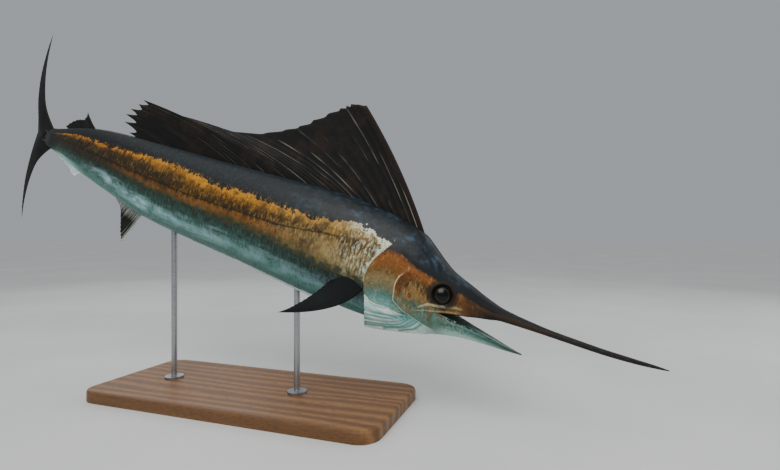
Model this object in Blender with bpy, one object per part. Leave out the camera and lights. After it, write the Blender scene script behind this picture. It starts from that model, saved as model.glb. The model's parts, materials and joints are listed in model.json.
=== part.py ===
"""A life-size sailfish, swimming nose down, on a plain display stand.

The fish is drawn first in its own frame: s is the way back from the bill's tip,
y is towards its left side and h is towards its back. All three are in percent of
the body length, which runs from the lower jaw's tip to the fork of the tail.
place() turns them into metres on the stand, with +Z up and +X ahead.
"""

import math
import random
from bisect import bisect_right

import bmesh
import bpy
from mathutils import Matrix, Vector

# Driving sizes
BODY_LENGTH = 1.75  # lower jaw's tip to tail fork, metres
PERCENT = BODY_LENGTH / 100
NOSE_DOWN = math.radians(18)
BILL_TIP_HEIGHT = 0.17
STAND_MIDDLE = 61  # the s above the middle of the base
GAP = 0.0003  # between touching pieces, metres
GAP_PERCENT = GAP / PERCENT
RING_POINTS = 32

# Stations where the fish is parted, and where the mouth ends
BILL_END = 21.5
MOUTH_CORNER = 28.3
TRUNK_PARTING = 60
STALK_START = 94
STALK_END = 113.6


def curve(*points):
    """A smooth function through the points, which doesn't overshoot them."""
    xs = [x for x, _ in points]
    ys = [y for _, y in points]
    steps = [(ys[i + 1] - ys[i]) / (xs[i + 1] - xs[i]) for i in range(len(xs) - 1)]
    slopes = [steps[0]]
    for before, after in zip(steps, steps[1:]):
        level = before * after <= 0
        slopes.append(0 if level else 2 * before * after / (before + after))
    slopes.append(steps[-1])

    def at(x):
        x = min(max(x, xs[0]), xs[-1])
        i = min(bisect_right(xs, x) - 1, len(xs) - 2)
        width = xs[i + 1] - xs[i]
        t = (x - xs[i]) / width
        start = (1 + 2 * t) * (1 - t) ** 2 * ys[i] + t * (1 - t) ** 2 * width * slopes[i]
        end = t * t * (3 - 2 * t) * ys[i + 1] + t * t * (t - 1) * width * slopes[i + 1]
        return start + end

    return at


# The fish's outline from the side, and its half width, all against s
back_line = curve(
    (0, 0.05), (1, 0.05), (4, -0.1), (8, -0.3), (13.5, -0.37), (17, -0.2), (20, 0.1),
    (22.4, 0.73), (24.9, 1.6), (27.7, 2.6), (29.6, 3.75), (31.3, 5), (33.1, 6.15),
    (37, 7.2), (41, 7.7), (46.3, 8), (54, 7.7), (61, 7.35), (69, 6.95), (78, 6.6),
    (90, 6.1), (95, 5.7), (99, 5.1), (103, 4.2), (106, 3.4), (109, 2.8), (111.5, 2.6),
    (113.6, 2.9),
)
head_belly = curve(
    (0, -0.05), (1, -0.26), (4, -0.72), (8, -1.04), (13.5, -1.23), (17, -1.38), (20, -1.6),
    (22.4, -2.4), (24.9, -4), (27, -5.6), (28.7, -6.85), (30, -7.3), (33, -8.2), (36, -8.85),
    (38, -9.15),
)
body_belly = curve(
    (35, -7.4), (38.5, -7.7), (41.5, -7.8), (46, -7.8), (50, -7.7), (57, -7.4), (63, -7.15),
    (71, -7), (77, -6.8), (83, -6.3), (90, -4.95), (95, -4), (100, -2.9), (104, -1.9),
    (107, -1.4), (109, -1.15), (111.5, -1), (113.6, -1.3),
)
half_width = curve(
    (0, 0.05), (1, 0.16), (4, 0.3), (8, 0.38), (13.5, 0.48), (17, 0.65), (20, 1), (22.4, 1.45),
    (25, 2.1), (28, 2.75), (31, 3.3), (34, 3.75), (37, 4), (41, 4.15), (46, 4.15), (52, 4.05),
    (60, 3.85), (68, 3.6), (76, 3.25), (84, 2.75), (90, 2.3), (96, 1.8), (101, 1.4), (105, 1.1),
    (108, 0.92), (111, 0.72), (113.6, 0.3),
)
widest_height = curve(
    (0, 0), (4, -0.4), (8, -0.66), (13.5, -0.8), (20, -0.75), (28, -0.8), (33, -0.5), (37, -0.3),
    (46, 0.3), (60, 0.5), (80, 0.4), (95, 0.6), (104, 1), (113.6, 0.8),
)
mouth_roof = curve((20, -1.6), (22.4, -1.95), (25, -2.4), (MOUTH_CORNER, -2.95))
# The rear edge of the gill cover, and how far it stands off, against the angle from the back
gill_edge = curve(
    (0, 34.7), (40, 35.3), (65, 36.8), (85, 38.1), (97, 38.4), (118, 37.7), (140, 37.4), (180, 37.6)
)
gill_lift = curve((0, 0.03), (48, 0.03), (66, 0.28), (120, 0.32), (180, 0.1))

# The stroke of the tail to the fish's left, in degrees
tail_turn = curve((97, 0), (102, 3.5), (112, 12), (116, 23.5), (130, 23.5))


def spine_table(step=0.5, end=130):
    """The backbone's place at regular stations, added up from its turn."""
    table = {0: (0, 0)}
    s, back, left = 0, 0, 0
    while s < end:
        turn = math.radians(tail_turn(s + step / 2))
        back += step * math.cos(turn)
        left += step * math.sin(turn)
        s += step
        table[s] = (back, left)
    return table


SPINE = spine_table()

# Colours, linear, with roughness and metallic
BLUE_BLACK = ("back_skin", (0.012, 0.022, 0.032, 1), 0.4, 0)
COPPER = ("copper_skin", (0.3, 0.12, 0.025, 1), 0.35, 0.2)
SILVER = ("silver_skin", (0.22, 0.42, 0.4, 1), 0.35, 0.2)
FIN_BLACK = ("fin_membrane", (0.008, 0.009, 0.011, 1), 0.5, 0)
BILL_BROWN = ("bill_skin", (0.06, 0.04, 0.03, 1), 0.45, 0)
EYE_BLACK = ("eye", (0.004, 0.004, 0.005, 1), 0.1, 0)
OAK = ("stand_wood", (0.13, 0.07, 0.035, 1), 0.5, 0)
STEEL = ("stand_steel", (0.55, 0.55, 0.56, 1), 0.3, 1)


def spine(s):
    """Where the backbone is at s: the way back, the way left, and the turn to the left."""
    before = max(point for point in SPINE if point <= s)
    back, left = SPINE[before]
    middle = math.radians(tail_turn((before + s) / 2))
    back += (s - before) * math.cos(middle)
    left += (s - before) * math.sin(middle)
    return back, left, math.radians(tail_turn(s))


def place(s, y, h):
    """A point of the fish's frame, in metres on the stand."""
    back, left, turn = spine(s)
    back -= y * math.sin(turn)
    left += y * math.cos(turn)
    ahead = (STAND_MIDDLE - back) * math.cos(NOSE_DOWN) + h * math.sin(NOSE_DOWN)
    up = back * math.sin(NOSE_DOWN) + h * math.cos(NOSE_DOWN)
    return Vector((ahead * PERCENT, left * PERCENT, up * PERCENT + BILL_TIP_HEIGHT))


def section(s, angle, belly, lift=0):
    """(y, h) of the skin at s, at an angle from the back, 0 to pi on the left side."""
    side = -1 if angle < 0 else 1
    angle = abs(angle)
    width = half_width(s)
    middle = widest_height(s)
    reach = back_line(s) - middle if angle < math.pi / 2 else middle - belly(s)
    outward = Vector((math.sin(angle) / width, math.cos(angle) / reach)).normalized()
    y = width * math.sin(angle) + lift * outward.x
    h = middle + reach * math.cos(angle) + lift * outward.y
    return side * y, h


def ring_angles():
    return [math.tau * i / RING_POINTS - math.pi for i in range(RING_POINTS)]


def ring(stations, belly, lifts=lambda angle: 0, shift=0):
    """The points round the body; stations and lifts are functions of the angle."""
    points = []
    for angle in ring_angles():
        s = stations(angle)
        y, h = section(s, angle, belly, lifts(angle))
        points.append(place(s + shift, y, h))
    return points


def flat_ring(s, belly, lift=0):
    return ring(lambda angle: s, belly, lambda angle: lift)


def roof_ring(s, lift=0):
    """A ring of the upper jaw, cut off flat at the roof of the open mouth."""
    roof = mouth_roof(s) - lift
    points = []
    flat = []
    for angle in ring_angles():
        y, h = section(s, angle, head_belly, lift)
        if h < roof:
            flat.append((len(points), angle))
        else:
            edge = abs(y)
        points.append((y, max(h, roof)))
    edge = min(abs(points[i][0]) for i in range(RING_POINTS) if points[i][1] > roof + 1e-6
               and abs(ring_angles()[i]) > math.pi / 2) if flat else 0
    widest = max((math.pi - abs(angle) for _, angle in flat), default=1)
    for i, angle in flat:
        share = (math.pi - abs(angle)) / (widest * 1.15)
        points[i] = (math.copysign(edge * share, angle), roof)
    return [place(s, y, h) for y, h in points]


def gill_station(angle):
    return gill_edge(math.degrees(abs(angle)))


def gill_raise(angle):
    return gill_lift(math.degrees(abs(angle)))


def material(look):
    name, colour, roughness, metallic = look
    made = bpy.data.materials.get(name)
    if made is None:
        made = bpy.data.materials.new(name)
        made.use_nodes = True
        shader = made.node_tree.nodes["Principled BSDF"]
        shader.inputs["Base Color"].default_value = colour
        shader.inputs["Roughness"].default_value = roughness
        shader.inputs["Metallic"].default_value = metallic
        made.diffuse_color = colour
    return made


def new_object(name, bm, look):
    mesh = bpy.data.meshes.new(name)
    bmesh.ops.recalc_face_normals(bm, faces=bm.faces[:])
    bm.to_mesh(mesh)
    bm.free()
    made = bpy.data.objects.new(name, mesh)
    made.data.materials.append(material(look))
    bpy.context.scene.collection.objects.link(made)
    return made


def close_end(bm, loop, middle):
    """A fan of triangles from the loop to one point."""
    centre = bm.verts.new(middle)
    for a, b in zip(loop, loop[1:] + loop[:1]):
        bm.faces.new((a, b, centre))


def skin_over(bm, rings):
    """Triangles between the rings, all split the same way, so a grown copy keeps its distance."""
    loops = [[bm.verts.new(p) for p in points] for points in rings]
    for near, far in zip(loops, loops[1:]):
        for i in range(len(near)):
            j = (i + 1) % len(near)
            bm.faces.new((near[i], near[j], far[j]))
            bm.faces.new((near[i], far[j], far[i]))
    return loops


def loft(name, rings, look, first=None, last=None):
    """One closed skin over the rings, each end a fan to the given point or the ring's middle."""
    bm = bmesh.new()
    loops = skin_over(bm, rings)
    for loop, points, middle in ((loops[0], rings[0], first), (loops[-1], rings[-1], last)):
        close_end(bm, loop, middle or sum(points, Vector()) / len(points))
    bmesh.ops.remove_doubles(bm, verts=bm.verts[:], dist=1e-6)
    return new_object(name, bm, look)


def boolean(target, operation, tools):
    """Joins the tools to the target or cuts them from it, then keeps its largest closed surface."""
    group = bpy.data.collections.new("tools")
    bpy.context.scene.collection.children.link(group)
    for tool in tools:
        bpy.context.scene.collection.objects.unlink(tool)
        group.objects.link(tool)
    step = target.modifiers.new(operation.lower(), "BOOLEAN")
    step.operation = operation
    step.operand_type = "COLLECTION"
    step.collection = group
    step.solver = "EXACT"
    graph = bpy.context.evaluated_depsgraph_get()
    result = bpy.data.meshes.new_from_object(target.evaluated_get(graph))
    target.modifiers.clear()
    target.data = result
    for tool in tools:
        bpy.data.objects.remove(tool)
    bpy.data.collections.remove(group)
    keep_largest(target)
    return target


def keep_largest(target):
    bm = bmesh.new()
    bm.from_mesh(target.data)
    left = set(bm.faces)
    islands = []
    while left:
        queue = [left.pop()]
        island = list(queue)
        while queue:
            for edge in queue.pop().edges:
                for face in edge.link_faces:
                    if face in left:
                        left.discard(face)
                        queue.append(face)
                        island.append(face)
        islands.append(island)
    islands.sort(key=lambda island: sum(face.calc_area() for face in island))
    for island in islands[:-1]:
        bmesh.ops.delete(bm, geom=island, context="FACES")
    bm.to_mesh(target.data)
    bm.free()


def shaded(target, sharp=40):
    target.data.shade_smooth()
    target.data.set_sharp_from_angle(angle=math.radians(sharp))
    return target


def copied(source):
    twin = source.copy()
    twin.data = source.data.copy()
    bpy.context.scene.collection.objects.link(twin)
    return twin


# The head, trunk and tail stalk

BILL_STATIONS = (0.01, 0.6, 2, 5, 9, 13.5, 17, 20)
ROOF_STATIONS = (22.6, 24, 25.5, 27, MOUTH_CORNER)
CHEEK_STATIONS = (MOUTH_CORNER, 29.8, 31.3, 32.6, 33.8)
TRUNK_STATIONS = (42, 45.5, 50, 55)
REAR_STATIONS = (65, 70, 75, 80, 85, 90)
STALK_STATIONS = (97.5, 101, 104, 107, 109.5, 111.5, 112.6)


def near_gill(angle, share=0.5):
    return CHEEK_STATIONS[-1] * (1 - share) + gill_station(angle) * share


def cheek_rings(lift=0):
    """The head behind the mouth, out to the standing edge of the gill cover."""
    rings = [flat_ring(s, head_belly, lift) for s in CHEEK_STATIONS]
    rings.append(ring(near_gill, head_belly, lambda angle: lift + 0.6 * gill_raise(angle)))
    rings.append(ring(gill_station, head_belly, lambda angle: lift + gill_raise(angle)))
    return rings


def whole_body(lift):
    """The head, trunk and stalk as one skin grown outwards, to cut the roots of the fins."""
    rings = [roof_ring(s, lift) for s in ROOF_STATIONS]
    rings += cheek_rings(lift)
    rings.append(ring(gill_station, body_belly, lambda angle: lift, 2 * lift))
    stations = (*TRUNK_STATIONS, TRUNK_PARTING, *REAR_STATIONS, STALK_START, *STALK_STATIONS)
    rings += [flat_ring(s, body_belly, lift) for s in (*stations, STALK_END)]
    rings.append(flat_ring(STALK_END + lift, body_belly, lift))
    return loft("whole_body", rings, BLUE_BLACK)


def make_bill():
    rings = [flat_ring(s, head_belly) for s in BILL_STATIONS]
    rings.append(flat_ring(BILL_END - GAP_PERCENT, head_belly))
    return shaded(loft("bill", rings, BILL_BROWN))


def angle_at(s, height, belly):
    """The angle from the back at which the skin has this height."""
    low, high = 0, math.pi
    for _ in range(30):
        middle = (low + high) / 2
        if section(s, middle, belly)[1] > height:
            low = middle
        else:
            high = middle
    return low


def on_skin(s, height, side, belly, lift=0):
    y, h = section(s, angle_at(s, height, belly), belly, lift)
    return place(s, side * y, h)


def standing_off(s, angle):
    """How far the gill cover lifts the head's skin at s."""
    edge = gill_station(angle)
    share = min(max((s - CHEEK_STATIONS[-1]) / (edge - CHEEK_STATIONS[-1]), 0), 1)
    return gill_raise(angle) * (1.2 * share if share < 0.5 else 0.2 + 0.8 * share)


def head_skin(s, height, side, more=0):
    angle = angle_at(s, height, head_belly)
    y, h = section(s, angle, head_belly, standing_off(s, angle) + more)
    return place(s, side * y, h)


def skin_ridge(side, points, width, height, steps=9):
    """A low ridge on the head through (s, h) points, its foot sunk in the skin."""
    marks = [i / (len(points) - 1) for i in range(len(points))]
    at_s = curve(*zip(marks, (s for s, _ in points)))
    at_h = curve(*zip(marks, (h for _, h in points)))
    path = [(at_s(i / steps), at_h(i / steps)) for i in range(steps + 1)]
    rings = []
    for i, (s, h) in enumerate(path):
        middle = head_skin(s, h, side)
        outward = (head_skin(s, h, side, 1) - middle).normalized()
        ahead = head_skin(*path[min(i + 1, steps)], side) - head_skin(*path[max(i - 1, 0)], side)
        across = ahead.cross(outward).normalized()
        size = (0.12 + 0.88 * math.sin(math.pi * (i + 0.2) / (steps + 0.4))) * PERCENT
        rings.append([
            middle + size * (width * math.cos(turn) * across + height * math.sin(turn) * outward)
            for turn in (math.tau * k / 6 + math.pi / 6 for k in range(6))
        ])
    return loft("ridge", rings, COPPER)


PREOPERCLE = ((33.2, 1.8), (34, 0.2), (34.2, -1.2), (33.8, -2.8), (32.6, -4), (31, -4.6), (29.4, -4.9))
GILL_COVER_FOOT = ((37, -4.9), (35.6, -4.75), (34, -4.65), (32.5, -4.8))
UPPER_LIP = ((23.4, -1.95), (25.5, -2.3), (27.8, -2.7), (29.4, -3.1), (30.7, -3.6))
THROAT_FOLDS = 4


def throat_fold(side, index):
    """One of the rays that spread the skin of the throat under the gill cover."""
    share = (index + 0.6) / THROAT_FOLDS
    start = (30.3 + 2.2 * share, -5.1 - 1.7 * share)
    end = (37.2, -5.5 - 2.8 * share)
    bend = ((start[0] + end[0]) / 2, 0.6 * start[1] + 0.4 * end[1])
    return skin_ridge(side, (start, bend, end), 0.24, 0.17)


EYE_S = 27.9
EYE_HEIGHT = -0.5
EYE_RADIUS = 1.36
EYE_DEPTH = 0.85
EYE_SINK = 0.5


def eyeball(name, side, grow=0):
    """A ball flattened from side to side, turned a little forward like the skin round it."""
    bm = bmesh.new()
    bmesh.ops.create_uvsphere(bm, u_segments=20, v_segments=12, radius=1)
    wide = EYE_RADIUS * PERCENT + grow
    deep = EYE_DEPTH * PERCENT + grow
    bmesh.ops.scale(bm, vec=(wide, wide, deep), verts=bm.verts[:])
    skin = on_skin(EYE_S, EYE_HEIGHT, side, head_belly)
    ahead = on_skin(EYE_S - 1, EYE_HEIGHT, side, head_belly)
    above = on_skin(EYE_S, EYE_HEIGHT + 1, side, head_belly)
    outward = (ahead - skin).cross(above - skin).normalized()
    if outward.y * side < 0:
        outward.negate()
    middle = skin - outward * EYE_SINK * PERCENT
    turn = outward.to_track_quat("Z", "Y").to_matrix().to_4x4()
    bmesh.ops.transform(bm, matrix=Matrix.Translation(middle) @ turn, verts=bm.verts[:])
    return shaded(new_object(name, bm, EYE_BLACK), 60)


NOSTRILS = ((25.6, 0.25, 0.16), (26.1, 0.45, 0.22))


def nostril(side, s, height, radius):
    bm = bmesh.new()
    size = radius * PERCENT
    bmesh.ops.create_uvsphere(bm, u_segments=8, v_segments=6, radius=size)
    bmesh.ops.translate(bm, vec=on_skin(s, height, side, head_belly), verts=bm.verts[:])
    return new_object("nostril", bm, EYE_BLACK)


def make_head():
    rings = [flat_ring(BILL_END, head_belly)]
    rings += [roof_ring(s) for s in ROOF_STATIONS]
    rings += cheek_rings()
    rings.append(ring(gill_station, body_belly, shift=-GAP_PERCENT))
    middle = place(37.2 - GAP_PERCENT, 0, -0.4)
    head = loft("head", rings, COPPER, last=middle)
    raised = []
    for side in (1, -1):
        raised.append(skin_ridge(side, PREOPERCLE, 0.42, 0.2))
        raised.append(skin_ridge(side, GILL_COVER_FOOT, 0.28, 0.16))
        raised.append(skin_ridge(side, UPPER_LIP, 0.2, 0.16))
        raised += [throat_fold(side, i) for i in range(THROAT_FOLDS)]
    boolean(head, "UNION", raised)
    cutters = [eyeball("socket", side, GAP) for side in (1, -1)]
    cutters += [nostril(side, *spot) for side in (1, -1) for spot in NOSTRILS]
    boolean(head, "DIFFERENCE", cutters)
    return shaded(head)


def make_trunk():
    first = ring(gill_station, body_belly)
    middle = place(37.2, 0, -0.4)
    front = [first] + [flat_ring(s, body_belly) for s in TRUNK_STATIONS]
    front.append(flat_ring(TRUNK_PARTING - GAP_PERCENT, body_belly))
    shaded(loft("trunk_front", front, BLUE_BLACK, first=middle))
    rear = [flat_ring(s, body_belly) for s in (TRUNK_PARTING, *REAR_STATIONS)]
    rear.append(flat_ring(STALK_START - GAP_PERCENT, body_belly))
    shaded(loft("trunk_rear", rear, BLUE_BLACK))


KEEL_MIDDLE = 110.2
KEEL_LENGTH = 5.6
KEEL_HEIGHTS = (-0.15, 1.75)
KEEL_REACH = 0.62
KEEL_THICKNESS = 0.3


def keel(side, height, grow=0):
    """One of the paired keels on each side of the stalk, which run on to the tail fin."""
    bm = bmesh.new()
    bmesh.ops.create_uvsphere(bm, u_segments=12, v_segments=8, radius=1)
    for vert in bm.verts:
        s = KEEL_MIDDLE + vert.co.x * (KEEL_LENGTH / 2 + grow)
        root = 0.45 * half_width(s)
        y = side * (root + (KEEL_REACH + grow) * vert.co.y)
        vert.co = place(s, y, height + vert.co.z * (KEEL_THICKNESS + grow))
    return new_object("keel", bm, BLUE_BLACK)


def make_stalk():
    rings = [flat_ring(s, body_belly) for s in (STALK_START, *STALK_STATIONS, STALK_END)]
    stalk = loft("tail_stalk", rings, BLUE_BLACK)
    keels = [keel(side, height) for side in (1, -1) for height in KEEL_HEIGHTS]
    return shaded(boolean(stalk, "UNION", keels))


# The lower jaw, hanging open

jaw_rim = curve((16.2, -4.66), (18, -4.45), (20.3, -4.08), (23.9, -3.58), (MOUTH_CORNER, -3.05))
jaw_keel = curve((16.2, -4.8), (18.5, -5.05), (20.5, -5.2), (23.8, -5.5), (26, -5.9), (MOUTH_CORNER, -6.55))
jaw_width = curve((16.2, 0.1), (18, 0.42), (20.3, 0.78), (23.8, 1.4), (MOUTH_CORNER, 2.4))
JAW_STATIONS = (16.2, 16.8, 17.9, 19.5, 21.5, 23.8, 26)
JAW_POINTS = 20
JAW_TROUGH = 0.55  # depth of the hollow between the rims, as a share of the jaw's depth


def jaw_ring(s):
    """A scoop: round below, with two raised rims and a hollow between them."""
    rim, foot, width = jaw_rim(s), jaw_keel(s), jaw_width(s)
    points = []
    for i in range(JAW_POINTS):
        angle = math.tau * i / JAW_POINTS - math.pi
        across = math.sin(angle)
        if abs(angle) >= math.pi / 2:
            h = rim - (rim - foot) * -math.cos(angle)
            y = width * across
        else:
            h = rim - (rim - foot) * JAW_TROUGH * math.cos(angle)
            y = 0.86 * width * across
        points.append(place(s, y, h))
    return points


def make_lower_jaw():
    """Its ends are strips from the outer curve to the hollow, since a scoop has no inner middle."""
    bm = bmesh.new()
    loops = skin_over(bm, [jaw_ring(s) for s in (*JAW_STATIONS, MOUTH_CORNER - GAP_PERCENT)])
    half = JAW_POINTS // 2
    quarter = half // 2
    for loop in (loops[0], loops[-1]):
        for step in (1, -1):
            for i in range(quarter):
                outer, further = loop[step * i], loop[step * (i + 1)]
                inner, nearer = loop[half - step * i], loop[half - step * (i + 1)]
                corners = (outer, further, nearer, inner)
                bm.faces.new(corners if further is not nearer else (outer, further, inner))
    return shaded(new_object("lower_jaw", bm, SILVER))


# The fins: thin blades whose rays stand out on both faces


def bowed(root, tip, lift):
    """A ray from root to tip, each (s, y, h), that leaves the root steeper than it ends."""
    root, tip = Vector(root), Vector(tip)
    length = (tip - root).length
    knee = root.lerp(tip, 0.42) + Vector(lift) * length

    def at(v):
        return root * (1 - v) ** 2 + knee * 2 * v * (1 - v) + tip * v * v

    return at


def blade(name, surface, rays, rows, ray_half, web_half, look, notch=lambda t: 0, seed=0, ragged=0):
    """A closed fin. surface(t, v) is its middle, with t across the rays and v along them.

    ray_half and web_half are the half thickness at the root and at the edge, in percent.
    """
    draw = random.Random(seed)
    columns = 2 * (rays - 1) + 1
    grid = []
    halves = []
    for i in range(columns):
        t = i / (columns - 1)
        is_ray = i % 2 == 0
        reach = 1 - ragged * draw.random() * notch(t) if is_ray else 1 - notch(t)
        near, far = ray_half if is_ray else web_half
        grid.append([place(*surface(t, reach * j / rows)) for j in range(rows + 1)])
        halves.append([(near + (far - near) * j / rows) * PERCENT for j in range(rows + 1)])
    bm = bmesh.new()
    sides = []
    for side in (1, -1):
        verts = []
        for i in range(columns):
            column = []
            for j in range(rows + 1):
                across = grid[min(i + 1, columns - 1)][j] - grid[max(i - 1, 0)][j]
                along = grid[i][min(j + 1, rows)] - grid[i][max(j - 1, 0)]
                normal = across.cross(along).normalized()
                column.append(bm.verts.new(grid[i][j] + side * halves[i][j] * normal))
            verts.append(column)
        sides.append(verts)
        for i in range(columns - 1):
            for j in range(rows):
                a, b, c, d = verts[i][j], verts[i + 1][j], verts[i + 1][j + 1], verts[i][j + 1]
                if i % 2:
                    bm.faces.new((a, b, c))
                    bm.faces.new((a, c, d))
                else:
                    bm.faces.new((a, b, d))
                    bm.faces.new((b, c, d))
    left, right = sides
    rim = [(i, 0) for i in range(columns)]
    rim += [(columns - 1, j) for j in range(1, rows + 1)]
    rim += [(i, rows) for i in range(columns - 2, -1, -1)]
    rim += [(0, j) for j in range(rows - 1, 0, -1)]
    for (i, j), (k, m) in zip(rim, rim[1:] + rim[:1]):
        bm.faces.new((left[i][j], left[k][m], right[k][m]))
        bm.faces.new((left[i][j], right[k][m], right[i][j]))
    return new_object(name, bm, look)


def rooted(fin, body):
    """Cuts the fin's root to the body's skin, with the small gap."""
    return shaded(boolean(fin, "DIFFERENCE", [copied(body)]), 30)


# Tips of the sail's rays against the s of their roots: half folded, swept back over the trunk
sail_tip_s = curve(
    (33.3, 47.8), (35.3, 49.9), (37.3, 51.5), (39.8, 55.1), (41.3, 57.6), (43.5, 61.8), (45.2, 64.9),
    (48, 70.4), (51, 75.6), (55, 82.3), (60, 88.1), (63, 89.9), (68, 91.9), (74, 92.4), (81, 92), (88.6, 91.4),
)
sail_tip_h = curve(
    (33.3, 21.1), (35.3, 20.9), (37.3, 20), (39.8, 17.5), (41.3, 15.8), (43.5, 13.85), (45.2, 12.8),
    (48, 12), (51, 12.1), (55, 12), (60, 12.7), (63, 12.3), (68, 11), (74, 9.6), (81, 8), (88.6, 6.3),
)
SAIL_START = 33.3
SAIL_END = 88.6
SAIL_RAYS = 30
SAIL_ROOT_DEPTH = 0.55
SAIL_LEAN = 0.9  # how far the tallest rays lean to the left


def sail_surface(t, v):
    s = SAIL_START + (SAIL_END - SAIL_START) * t
    root = (s, 0, back_line(s) - SAIL_ROOT_DEPTH)
    lean = SAIL_LEAN * math.sin(math.pi * min(1, t * 2.2)) * (1 - t)
    tip = (sail_tip_s(s), lean, sail_tip_h(s))
    return bowed(root, tip, (0, 0, 0.09))(v)


sail_notch = curve((0, 0.012), (0.35, 0.02), (0.45, 0.05), (0.55, 0.1), (0.75, 0.16), (1, 0.2))


def make_sail(body):
    fin = blade("sail", sail_surface, SAIL_RAYS, 8, (0.13, 0.06), (0.05, 0.03), FIN_BLACK,
                notch=sail_notch, seed=7, ragged=0.35)
    return rooted(fin, body)


def fan(front_root, rear_root, outline, lift=(0, 0, 0), bulge=0):
    """A fin surface between two roots, whose rays end along the outline's three curves of t."""
    out_s, out_y, out_h = outline

    def surface(t, v):
        root = [a + (b - a) * t for a, b in zip(front_root, rear_root)]
        tip = (out_s(t), out_y(t), out_h(t))
        point = bowed(root, tip, lift)(v)
        point.y += bulge * math.sin(math.pi * v) * (0.5 - t)
        return point

    return surface


def level(value):
    return lambda t: value


def make_median_fins(body):
    second_dorsal = fan((98, 0, 4.7), (103.6, 0, 3.4), (
        curve((0, 100.9), (0.3, 101.5), (0.65, 103.6), (1, 107)),
        level(0),
        curve((0, 7.6), (0.3, 6.3), (0.65, 5.2), (1, 3.95)),
    ), (0, 0, 0.05))
    rooted(blade("second_dorsal_fin", second_dorsal, 7, 6, (0.1, 0.05), (0.04, 0.03),
                 FIN_BLACK, notch=level(0.03)), body)
    first_anal = fan((82.1, 0, -5.8), (88.4, 0, -4.6), (
        curve((0, 85.7), (0.15, 86.3), (0.45, 87.1), (0.75, 87.8), (1, 89.3)),
        level(0),
        curve((0, -12.2), (0.15, -11.3), (0.45, -8.7), (0.75, -6.6), (1, -5.3)),
    ), (-0.01, 0, -0.03))
    rooted(blade("first_anal_fin", first_anal, 12, 6, (0.12, 0.05), (0.045, 0.03),
                 FIN_BLACK, notch=level(0.03)), body)
    second_anal = fan((98.3, 0, -2.7), (103.2, 0, -1.5), (
        curve((0, 101.3), (0.35, 102.3), (0.7, 104.2), (1, 107.2)),
        level(0),
        curve((0, -4.9), (0.35, -3.9), (0.7, -2.85), (1, -1.9)),
    ), (0, 0, -0.05))
    rooted(blade("second_anal_fin", second_anal, 7, 6, (0.1, 0.05), (0.04, 0.03),
                 SILVER, notch=level(0.03)), body)


PECTORAL_FRONT = (38.75, -3.4)
PECTORAL_REAR = (41.9, -2.3)
PECTORAL_ROOT_DEPTH = 0.5


def pectoral_root(point, side):
    s, height = point
    y, h = section(s, angle_at(s, height, body_belly), body_belly)
    return (s, side * (y - PECTORAL_ROOT_DEPTH), h)


def make_pectoral(name, side, body):
    """Held out and down, a blade that narrows to a point, stiffest at its leading edge."""
    surface = fan(pectoral_root(PECTORAL_FRONT, side), pectoral_root(PECTORAL_REAR, side), (
        curve((0, 47.2), (0.3, 46.3), (0.55, 45), (0.8, 43.6), (1, 42.8)),
        curve((0, 9 * side), (0.3, 8.5 * side), (0.55, 7.6 * side), (0.8, 6.3 * side),
              (1, 5.1 * side)),
        curve((0, -9.3), (0.3, -8.6), (0.55, -7.2), (0.8, -5.2), (1, -3.5)),
    ), (-0.26, 0.05 * side, -0.1), 0.4 * side)
    fin = blade(name, surface, 11, 7, (0.17, 0.06), (0.07, 0.04), FIN_BLACK, notch=level(0.015))
    return rooted(fin, body)


PELVIC_START = 42.6
PELVIC_END = 70.5
PELVIC_SIDE = 0.8  # off the middle line, so that the stand's front rod passes between
PELVIC_HALF_WIDTH = 0.2


def make_pelvic(name, side):
    """The long narrow pelvic fin, folded back against the belly."""
    rings = []
    steps = 14
    for i in range(steps + 1):
        share = i / steps
        s = PELVIC_START + (PELVIC_END - PELVIC_START) * share
        taper = math.sqrt(1 - share) * (1 - 0.35 * share) + 0.12
        wide = PELVIC_HALF_WIDTH * taper
        thick = 0.34 * taper
        points = []
        for across, outward in ((-1, 0), (-0.6, 1), (0.6, 1), (1, 0)):
            y = PELVIC_SIDE + across * wide
            angle = math.pi - math.asin(y / half_width(s))
            skin_y, skin_h = section(s, angle, body_belly, GAP_PERCENT * 1.5 + thick * outward)
            points.append(place(s, side * skin_y, skin_h))
        rings.append(points)
    return loft(name, rings, SILVER)


# Edges of the tail fin's lobes against the share of their height
TAIL_ROOT_S = 112.3
TAIL_MIDDLE = 0.7
UPPER_FLEX = 0.5  # how far the middle of the upper lobe bows to the right
LOWER_FLEX = 1.3  # how far the tip of the lower lobe trails to the left


def lobe_surface(up, height, tip_s, fork_s):
    """One lobe of the tail fin: its rays leave the stalk and end along the hollow rear edge."""
    edge_s = curve((0, tip_s), (0.12, tip_s + 0.3), (0.3, tip_s - 0.1), (0.55, tip_s - 1.6),
                   (0.8, fork_s + 1.2), (1, fork_s))
    edge_h = curve((0, height), (0.12, 0.86 * height), (0.3, 0.64 * height),
                   (0.55, 0.35 * height), (0.8, 0.12 * height), (1, 0.03))

    def surface(t, v):
        root_h = 2.3 * (1 - t) ** 0.8 + 0.03
        root = Vector((TAIL_ROOT_S - 3.4 * (1 - t) ** 2, 0, root_h))
        tip = Vector((edge_s(t), 0, edge_h(t)))
        knee = root.lerp(tip, 0.45) + Vector((3.1 * (1 - t), 0, -0.6 * (1 - t)))
        point = root * (1 - v) ** 2 + knee * 2 * v * (1 - v) + tip * v * v
        share = point.z / height
        flex = -UPPER_FLEX * math.sin(math.pi * share) if up > 0 else LOWER_FLEX * share ** 2
        return (point.x, flex, TAIL_MIDDLE + up * point.z)

    return surface


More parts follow.
